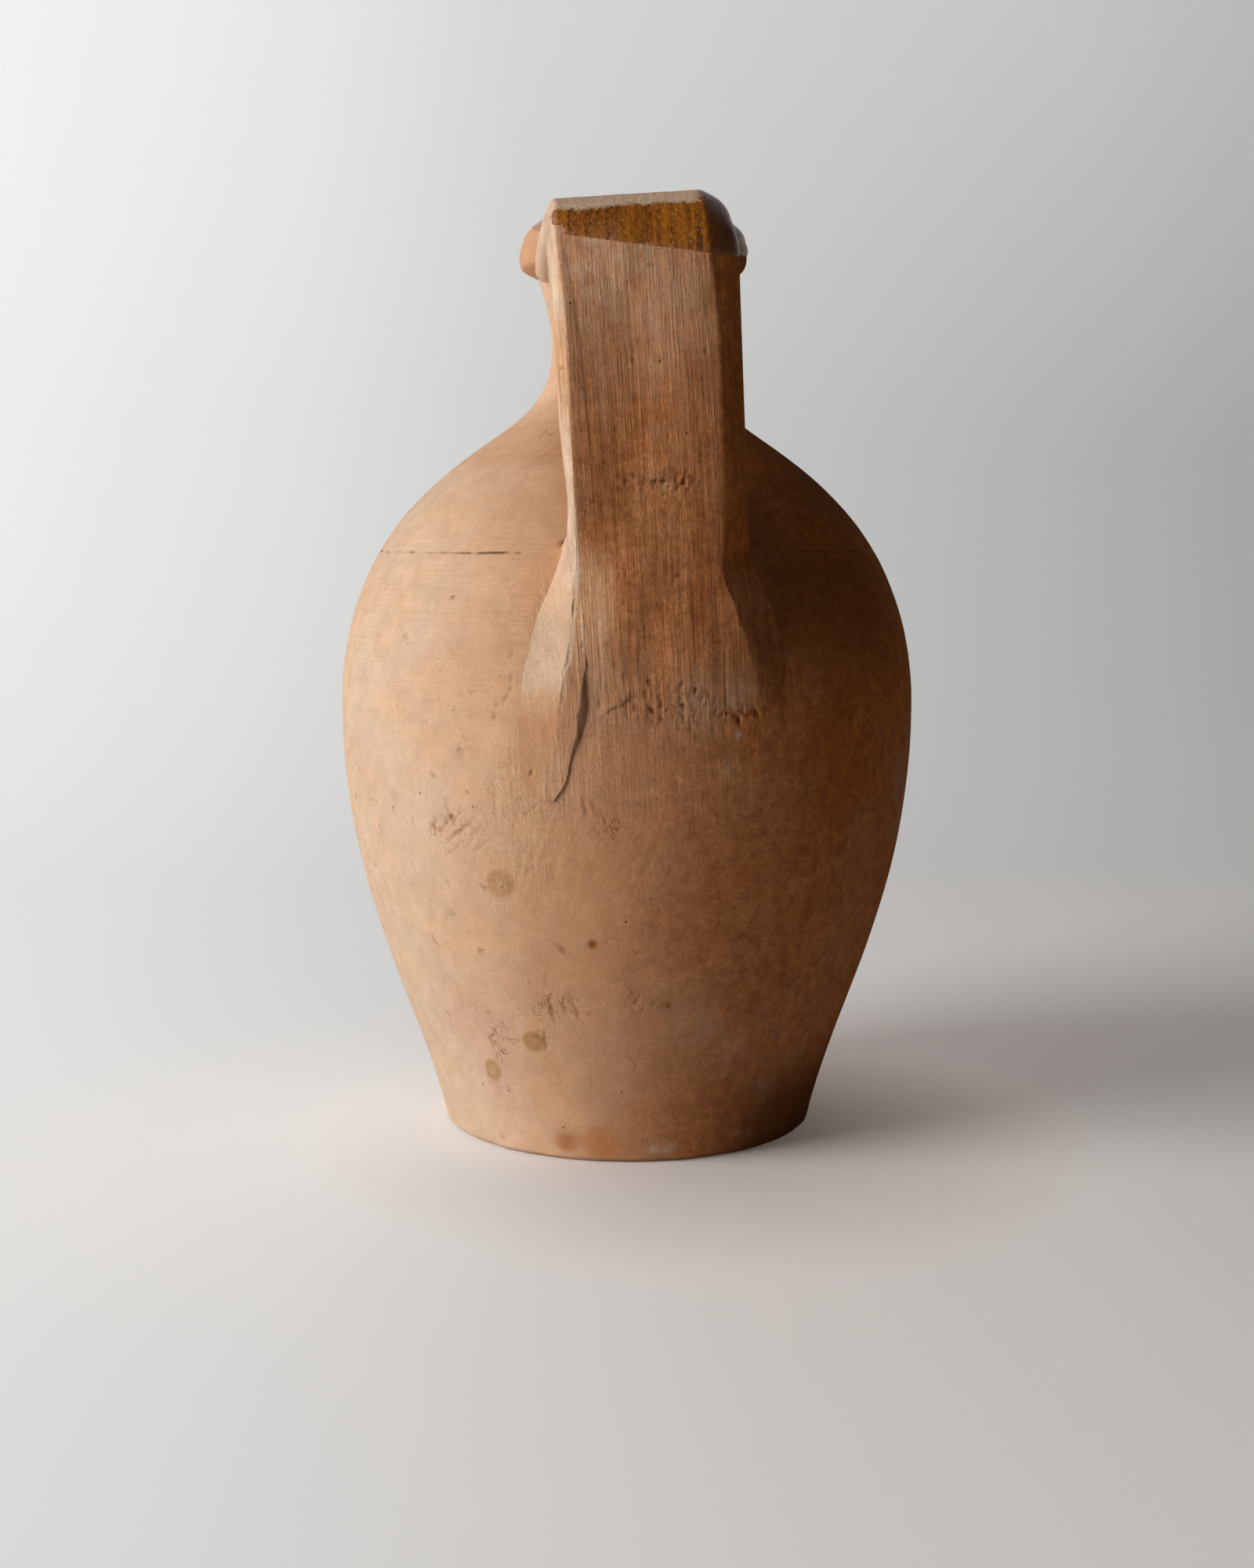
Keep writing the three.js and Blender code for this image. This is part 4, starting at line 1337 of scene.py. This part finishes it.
RIGHT_SMEAR = [
    (180, 14.6, -1.0, 15.4, -1.0, 21.5, 8, 0.3),
    (172, 14.4, -0.6, 15.2, -0.5, 22.8, 9, 0.3),
    (166, 14.2, -0.35, 15.2, -0.15, 24.4, 15, 0.3),
    (161, 14.0, -0.25, 15.4, 0.0, 25.6, 24, 0.3),
    (156, 13.8, -0.25, 16.4, 0.06, 27.4, 40, 0.3),
    (151, 13.8, -0.25, 18.4, 0.08, 29.8, 40, 0.3),
    (146, 13.8, -0.25, 20.0, 0.1, 32.0, 40, 0.3),
    (141, 14.0, -0.25, 21.8, 0.12, 34.4, 40, 0.3),
    (135, 14.4, -0.25, 23.4, 0.12, 36.2, 40, 0.3),
    (128, 15.5, -0.25, 23.8, 0.05, 37.0, 40, 0.3),
    (120, 18.0, -0.3, 24.2, -0.1, 36.6, 40, 0.3),
    (112, 21.0, -0.4, 25.0, -0.35, 34.0, 40, 0.3),
]


def face_reach(across, z):
    """How far the strap's face, drawn on to both sides, or the belly stands from the middle plane."""
    x = across + strap_drift(z)
    turned = left_turn(across, z) + right_turn(across, z)
    face = spine_reach(z) - pressed_back(x, z) - settled(across, z) - turned
    return np.maximum(belly_reach(x, z), face)


def root_smear(name, stations, seed, crack=0.0, rounds=170):
    """Clay smeared from the edge of the strap onto the belly: a top up to a crease, then a long fall."""
    z = np.linspace(stations[0][0], stations[-1][0], rounds)[:, None]
    start, start_lift, crease, crease_lift, foot, hang, cliff = curve_through(stations, z)
    side = np.sign(stations[0][5])
    top = np.linspace(0, 1, 16)[None, :-1]
    fall = np.linspace(0, 1, 40)[None, :]
    ragged = 0.16 * noise(z / 3.4, 0.5, seed + 4) + 0.12 * noise(z / 1.3, 0.5, seed + 5)
    start += ragged * ease(z, 100, 106)
    start_reach = face_reach(start, z) + start_lift
    crease_reach = face_reach(crease, z) + crease_lift
    top_u = lerp(start, crease, top)
    flush = ease(z, 136, 142)
    top_reach = face_reach(top_u, z) + lerp(start_lift, crease_lift, lerp(top, ease(top, 0, 0.35), flush))
    fall_u = lerp(crease, foot, fall)
    fall_belly = belly_reach(fall_u + strap_drift(z), z)
    behind = spine_reach(z) - hang - pressed_back(fall_u + strap_drift(z), z)
    floor_reach = np.maximum(fall_belly, behind)
    share = (1 - fall) ** lerp(2.1, 1.05, ease(z, 134, 155))
    fall_reach = lerp(floor_reach, crease_reach - floor_reach[:, :1] + floor_reach, share) - 0.14 * fall**2
    u = np.hstack([top_u, fall_u])
    reach = np.hstack([top_reach, fall_reach])
    inner = np.hstack([np.ones(top.shape), (1 - fall) ** 0.5]) * np.minimum(1, np.abs(u - start) / 1.5)
    lane = u + 0.02 * z
    drawn = 0.03 * noise(lane / 1.3, z / 24, seed) + 0.1 * noise(lane / 5, z / 22, seed + 1)
    wander = 0.5 * noise(z / 4, 0.5, seed + 2) + 0.3 * noise(z / 1.5, 0.5, seed + 6)
    cracked = bump(u, crease + wander, 0.33) * ease(z, 158, 150) * ease(z, 103, 108)
    cracked *= ease(noise(z / 6, 0.5, seed + 3) + 0.5 * noise(z / 1.7, 0.5, seed + 7), -0.3, 0.5)
    pitted = body_carved(np.arctan2(u + strap_drift(z), reach), z + 0 * u)
    reach += drawn * inner - crack * cracked - pitted
    drop = start_reach - face_reach(start - side * cliff, z) + 0.5
    under = [(1.0, 1.6), (1.0, 1.0), (0.75, 0.72), (0.4, 0.3), (0.15, 0.06)]
    cliff_u = np.hstack([start - side * cliff * w for w, _ in under])
    cliff_reach = np.hstack([start_reach - drop * d for _, d in under])
    buried_u = np.hstack([foot + side * 0.3, lerp(foot, crease, 0.6)])
    buried_reach = np.hstack([reach[:, -1:] - 2, np.minimum(reach[:, -1:], start_reach) - 3])
    u = np.hstack([cliff_u, u, buried_u])
    reach = np.hstack([cliff_reach, reach, buried_reach])
    edge = LEFT_EDGE_TINT if side < 0 else RIGHT_EDGE_TINT
    run = SPINE_RUN[-1] - z + STRAP_TAIL_HEIGHT
    marks = strap_tints(u - crease + edge, z, run, 1.0)
    smooth_facet = ease(side * (u - crease), 0.0, 0.8) if side < 0 else 0 * u
    marks["drawn"] *= 1 - 0.5 * smooth_facet
    marks["pulled"] *= 1 - 0.6 * smooth_facet
    marks["tone_and_painted_light"] += 0.07 * smooth_facet * ease(z, 150, 136)
    hidden = ((0, 0), (len(under), buried_u.shape[1]))
    # Painted shade in the cracks and pits, on the cliff under the start, and on the right smear's fall beyond
    # its crease, which turns away from the lamp
    marks["painted_shade"] = np.pad(2 * crack * cracked + pit_shade(pitted), hidden)
    marks["rust"] = np.pad(pit_rust(pitted), hidden)
    if side > 0:
        marks["painted_shade"] += 0.4 * ease(u - crease, 0, 3) * ease(z, 152, 138)
    marks["painted_shade"][:, : len(under)] = 0.2
    rows = np.stack([u + strap_drift(z), -reach, np.broadcast_to(z, u.shape)], -1)
    capped_tube(name, rows, marks)


# Glaze


def above_dip(places):
    """How far places lie above the surface of the bath."""
    x, y, z = np.moveaxis(places, -1, 0)
    return z - (DIP_HEIGHT + DIP_SLOPE_X * x + DIP_SLOPE_Y * y)


def coat_thickness(share, edge):
    """Thickness of a coat that thins out at its end, where share runs from 0 to 1."""
    return GLAZE_EDGE + (GLAZE - GLAZE_EDGE) * (1 - ease(share, 1 - edge, 1.0) ** 2)


def handle_glaze(steps=110):
    """The dipped coat on the top of the strap, down to the line of the bath and rubbed off on the left."""
    section, out = section_samples(0.42, 1.5)
    across, outwards = section[:, 0], section[:, 1]
    facing = on_face(outwards)
    run = np.linspace(0, SPINE_RUN[-1] * 0.55, 700)[:, None]
    trial = strap_point(run, across, outwards, facing=facing)
    rubbed = 2.0 * ease(across, -18.4, -19.2)
    wander = 0.12 * noise(across / 3, 0.5, 91) + 0.08 * noise(across / 1.1, 0.5, 93)
    wet = above_dip(trial) > rubbed + wander
    dry = ~wet & (run > 40)
    end = run[:, 0][dry.argmax(axis=0)]
    share = np.linspace(0, 1, steps)[:, None]
    run = share * end
    thick = coat_thickness(share, 1.0 / end)
    outer = strap_point(run, across, outwards, thick * out[:, 0], thick * out[:, 1], facing)
    inner = strap_point(run, across, outwards, -GLAZE_SUNK * out[:, 0], -GLAZE_SUNK * out[:, 1], facing)
    rows = np.concatenate([outer, inner[::-1]])
    way_z = np.interp(run, SPINE_RUN, SPINE_WAY[:, 1])
    up = np.degrees(np.arccos(np.clip(-way_z, -1, 1)))
    # Across the crown of the bend the coat is pale and rough: wear and a painted reflection of the pale
    # backdrop; on the left edge it is bare from wear
    crown = ease(up + 5 * noise(across / 7, 0.5, 94) + 3 * noise(across / 1.6, 0.5, 95), 41, 53)
    top = ease(up + 6 * noise(across / 5, run / 9, 96), 74, 90) * facing * ease(across, -19, -16)
    crown *= 1 - 0.9 * top
    left_edge = ease(across, -20.6, -21.4) * np.ones_like(run)
    wear_and_painted_reflection = np.clip(np.maximum(crown * (1 - 0.9 * ease(across, 14, 18.5)), 0.9 * left_edge), 0, 1)
    # Painted shade on the right bevel, which turns away from the lamp
    shaded = 0.75 * ease(across, 15.5, 18.5) * np.ones_like(run)
    marks = {"wear_and_painted_reflection": np.concatenate([wear_and_painted_reflection, wear_and_painted_reflection[::-1]]), "painted_shade": np.concatenate([shaded, shaded])}
    closed_shell("handle_glaze", rows, marks, finish=dipped_glaze)


def rim_glaze(count=200, steps=40):
    """The dipped coat on the collar."""
    phi = even_bearings(count)
    t = np.linspace(0, 0.75, 300)[:, None]
    trial = collar_place(t, phi)
    wet = above_dip(trial) > 0.3 * turn_noise(phi, 0.5, 92, 24)
    start = t[:, 0][wet.argmax(axis=0)]
    share = np.linspace(0, 1, steps)[:, None]
    t = lerp(start, 1.0, share)
    thick = coat_thickness(1 - share, 0.06)
    rows = np.concatenate([collar_place(t, phi, thick), collar_place(t, phi, -GLAZE_SUNK)[::-1]])
    closed_shell("rim_glaze", rows, {}, finish=lining_glaze)


# Drops of glaze that fell on the belly: bearing, height, half width, half height and strength
DROPS = [(-29.5, 79, 5.3, 5.1, 0.75), (-27.2, 35, 4.1, 3.6, 1.0), (-41.9, 24.3, 3.4, 4.4, 0.9)]


def glaze_drops(rounds=14, count=40):
    """Low films of glaze with uneven, faded edges, all in one piece."""
    places, faces, marks = [], [], []
    turn = np.linspace(0, 2 * math.pi, count, endpoint=False)
    share = np.linspace(1, 0.04, rounds)[:, None]
    for number, (bearing, height, wide, tall, strength) in enumerate(DROPS):
        wobble = share * (1 + 0.13 * turn_noise(turn, 0.5, 95 + number, 6))
        phi = math.radians(bearing) + wobble * wide * np.cos(turn) / wall_radius(height)
        z = height + wobble * tall * np.sin(turn)
        off = 0.14 * (1 - share**2) - 0.08 * (share == 1) + 0.02
        places.append(body_point(phi, z, off).reshape(-1, 3))
        film = strength * ease(share, 0.96, 0.55) * (1 - 0.35 * bump(share, 0.1, 0.3))
        marks.append(body_marks(phi, z) | {"film": np.broadcast_to(film, z.shape)})
        start = number * rounds * count
        faces += (start + grid_quads(rounds, count, False)).tolist()
        faces.append([start + (rounds - 1) * count + j for j in range(count)])
        faces.append([start + j for j in reversed(range(count))])
    marks = {key: np.concatenate([part[key].ravel() for part in marks]) for key in marks[0]}
    piece_from("glaze_drops", np.concatenate(places), faces, marks, None, bare_clay)


# Floor, backdrop, lights and camera


PAPER = (0.78, 0.785, 0.785)
# The glow is painted light, brighter on the left towards the lamp and fading to the right, and warmer near
# the jug on its right as by light from the clay
PAPER_GLOW = 0.27
GLOW_RISE = 0.05
GLOW_FALL = 0.33
GLOW_FALL_RISE = -0.07
GLOW_LEAST = 0.12
GLOW_MOST = 0.7
GLOW_NEAR = (1.0, 0.89, 0.83)
GLOW_FAR = (1.0, 1.0, 1.0)
# A painted shadow round the foot, where the glow is dimmed and warmed as by light from the clay
FOOT_SHADE = (0.02, -0.03, 0)
FOOT_SHADE_REACH = 0.11
FOOT_SHADE_DEPTH = 0.3
FOOT_BOUNCE_TINT = (1.0, 0.8, 0.66)


def paper():
    """Pale paper, with a glow for the camera alone that rises with the distance and fades to the right:
    painted light, brightest towards the lamp, dimmed round the foot as a painted shadow and warmed there as
    by light from the clay.
    """
    n = Nodes(bpy.data.materials.new("paper"))
    stops = [(place, tuple(tone * c for c in PAPER)) for place, tone in ((0.3, 0.98), (0.7, 1.02))]
    place = n.place()
    x, y = n.add("ShaderNodeSeparateXYZ", {0: place}, "X", "Y")
    x, y = x.max(-0.8), y.max(-0.5)
    glow = y * GLOW_RISE + PAPER_GLOW - (y * GLOW_FALL_RISE + GLOW_FALL) * x
    # Less painted light on the floor at the front right, and more high on the backdrop to the right and on
    # the left
    front_right = x.spread(0.11, 0.2, 0, 0.05) * y.spread(0.08, -0.02)
    high_right = x.spread(0, 0.6) * y.spread(1.23, 1.9, 0, 0.09)
    left = x.spread(0, -0.2, 0, 0.05) + y.spread(1.3, 1.7, 0, 0.03)
    glow = (glow - front_right + high_right + left).max(GLOW_LEAST).min(GLOW_MOST)
    # Painted shadow round the foot
    away = n.add("ShaderNodeVectorMath", {0: place, 1: FOOT_SHADE}, "Value", operation="DISTANCE")
    glow *= away.spread(0.02, FOOT_SHADE_REACH, FOOT_SHADE_DEPTH, 1)
    tint = n.mix(y.spread(0.1, 0.7).max(x.spread(0.02, -0.09)), GLOW_NEAR, GLOW_FAR)
    straight, mirrored, through = n.rays()
    return n.surface(
        {
            "Base Color": n.ramp(n.field(1.2, 4), stops),
            "Roughness": 0.95,
            "Specular IOR Level": 0.1,
            "Emission Color": n.mix(away.spread(0.06, 0.12).max(x.spread(0.01, -0.04)), FOOT_BOUNCE_TINT, tint),
            "Emission Strength": glow * straight.max(mirrored).max(through),
        }
    )


def stage(radius=1500, flat_back=420, half=3200, front=-4000):
    """A pale paper sweep: a floor that curves up far behind the jug."""
    turn = np.linspace(0, math.pi / 2, 40)
    curve = [(flat_back + radius * math.sin(a), radius * (1 - math.cos(a))) for a in turn]
    line = [(front, 0), (-600, 0), (0, 0), *curve, (flat_back + radius, 3200)]
    places = [(x * MM, y * MM, z * MM) for y, z in line for x in (-half, half)]
    faces = [(2 * i, 2 * i + 1, 2 * i + 3, 2 * i + 2) for i in range(len(line) - 1)]
    mesh = bpy.data.meshes.new("sweep")
    mesh.from_pydata(places, [], faces)
    mesh.shade_smooth()
    mesh.materials.append(paper())
    in_scene("sweep", mesh)


KEY_BEARING = -68
KEY_ELEVATION = 11
KEY_DISTANCE = 2.0
KEY_AIM = 0.12
KEY_SIZE = (1.2, 2.4)
KEY_POWER = 60
KEY_COLOUR = (1.0, 0.985, 0.965)
AMBIENT = 0.045
AMBIENT_TINT = (1, 0.97, 0.93)
ROOM = 0.06
AIR = 0.6


def lights():
    """One tall soft lamp from the left, a little ambient light, and a dark room for the glaze to mirror."""
    turn, rise = math.radians(KEY_BEARING), math.radians(KEY_ELEVATION)
    lamp = bpy.data.lights.new("key", "AREA")
    lamp.shape = "RECTANGLE"
    lamp.size, lamp.size_y = KEY_SIZE
    lamp.energy = KEY_POWER
    lamp.color = KEY_COLOUR
    key = in_scene("key", lamp)
    level = math.cos(rise) * KEY_DISTANCE
    key.location = (level * math.sin(turn), -level * math.cos(turn), KEY_AIM + math.sin(rise) * KEY_DISTANCE)
    aim = -key.location
    aim.z += KEY_AIM
    key.rotation_euler = aim.to_track_quat("-Z", "Y").to_euler()
    n = Nodes(bpy.data.worlds.new("world"))
    straight, mirrored, through = n.rays()
    light = n.mix(mirrored, [AMBIENT * c for c in AMBIENT_TINT], (ROOM, ROOM, ROOM))
    n.put(n.mix(straight.max(through), light, (AIR, AIR, AIR)), n.tree.nodes["Background"].inputs["Color"])
    bpy.context.scene.world = n.owner


def camera():
    lens = bpy.data.cameras.new("camera")
    lens.lens = CAMERA_LENS
    lens.sensor_width = SENSOR
    lens.clip_end = 50
    made = in_scene("camera", lens)
    turn = math.radians(CAMERA_BEARING)
    level = CAMERA_REACH * MM
    made.location = (level * math.sin(turn), -level * math.cos(turn), CAMERA_HEIGHT * MM)
    made.rotation_euler = (math.radians(90 - CAMERA_TILT), 0, turn)
    bpy.context.scene.camera = made


camera()
lights()
stage()
base_disc()
belly_wall()
seam_inside = [belly_inside[-1], shoulder_inside[0]]
thrown("seam_slip", SEAM_HEIGHT, seam_top, 0.14, seam_inside, finish=seam_clay)
thrown("shoulder_dome", seam_top, NECK_ROOT_HEIGHT, 0.6, shoulder_inside)
thrown("neck_tube", NECK_ROOT_HEIGHT, NECK_TOP_HEIGHT, 0.7, neck_inside, count=230)
collar_rim()
strap_handle()
root_smear("root_smear_left", LEFT_SMEAR, 101, crack=0.36)
root_smear("root_smear_right", RIGHT_SMEAR, 111)
inner_glaze()
rim_glaze()
handle_glaze()
glaze_drops()

bpy.context.scene.view_settings.view_transform = "Standard"
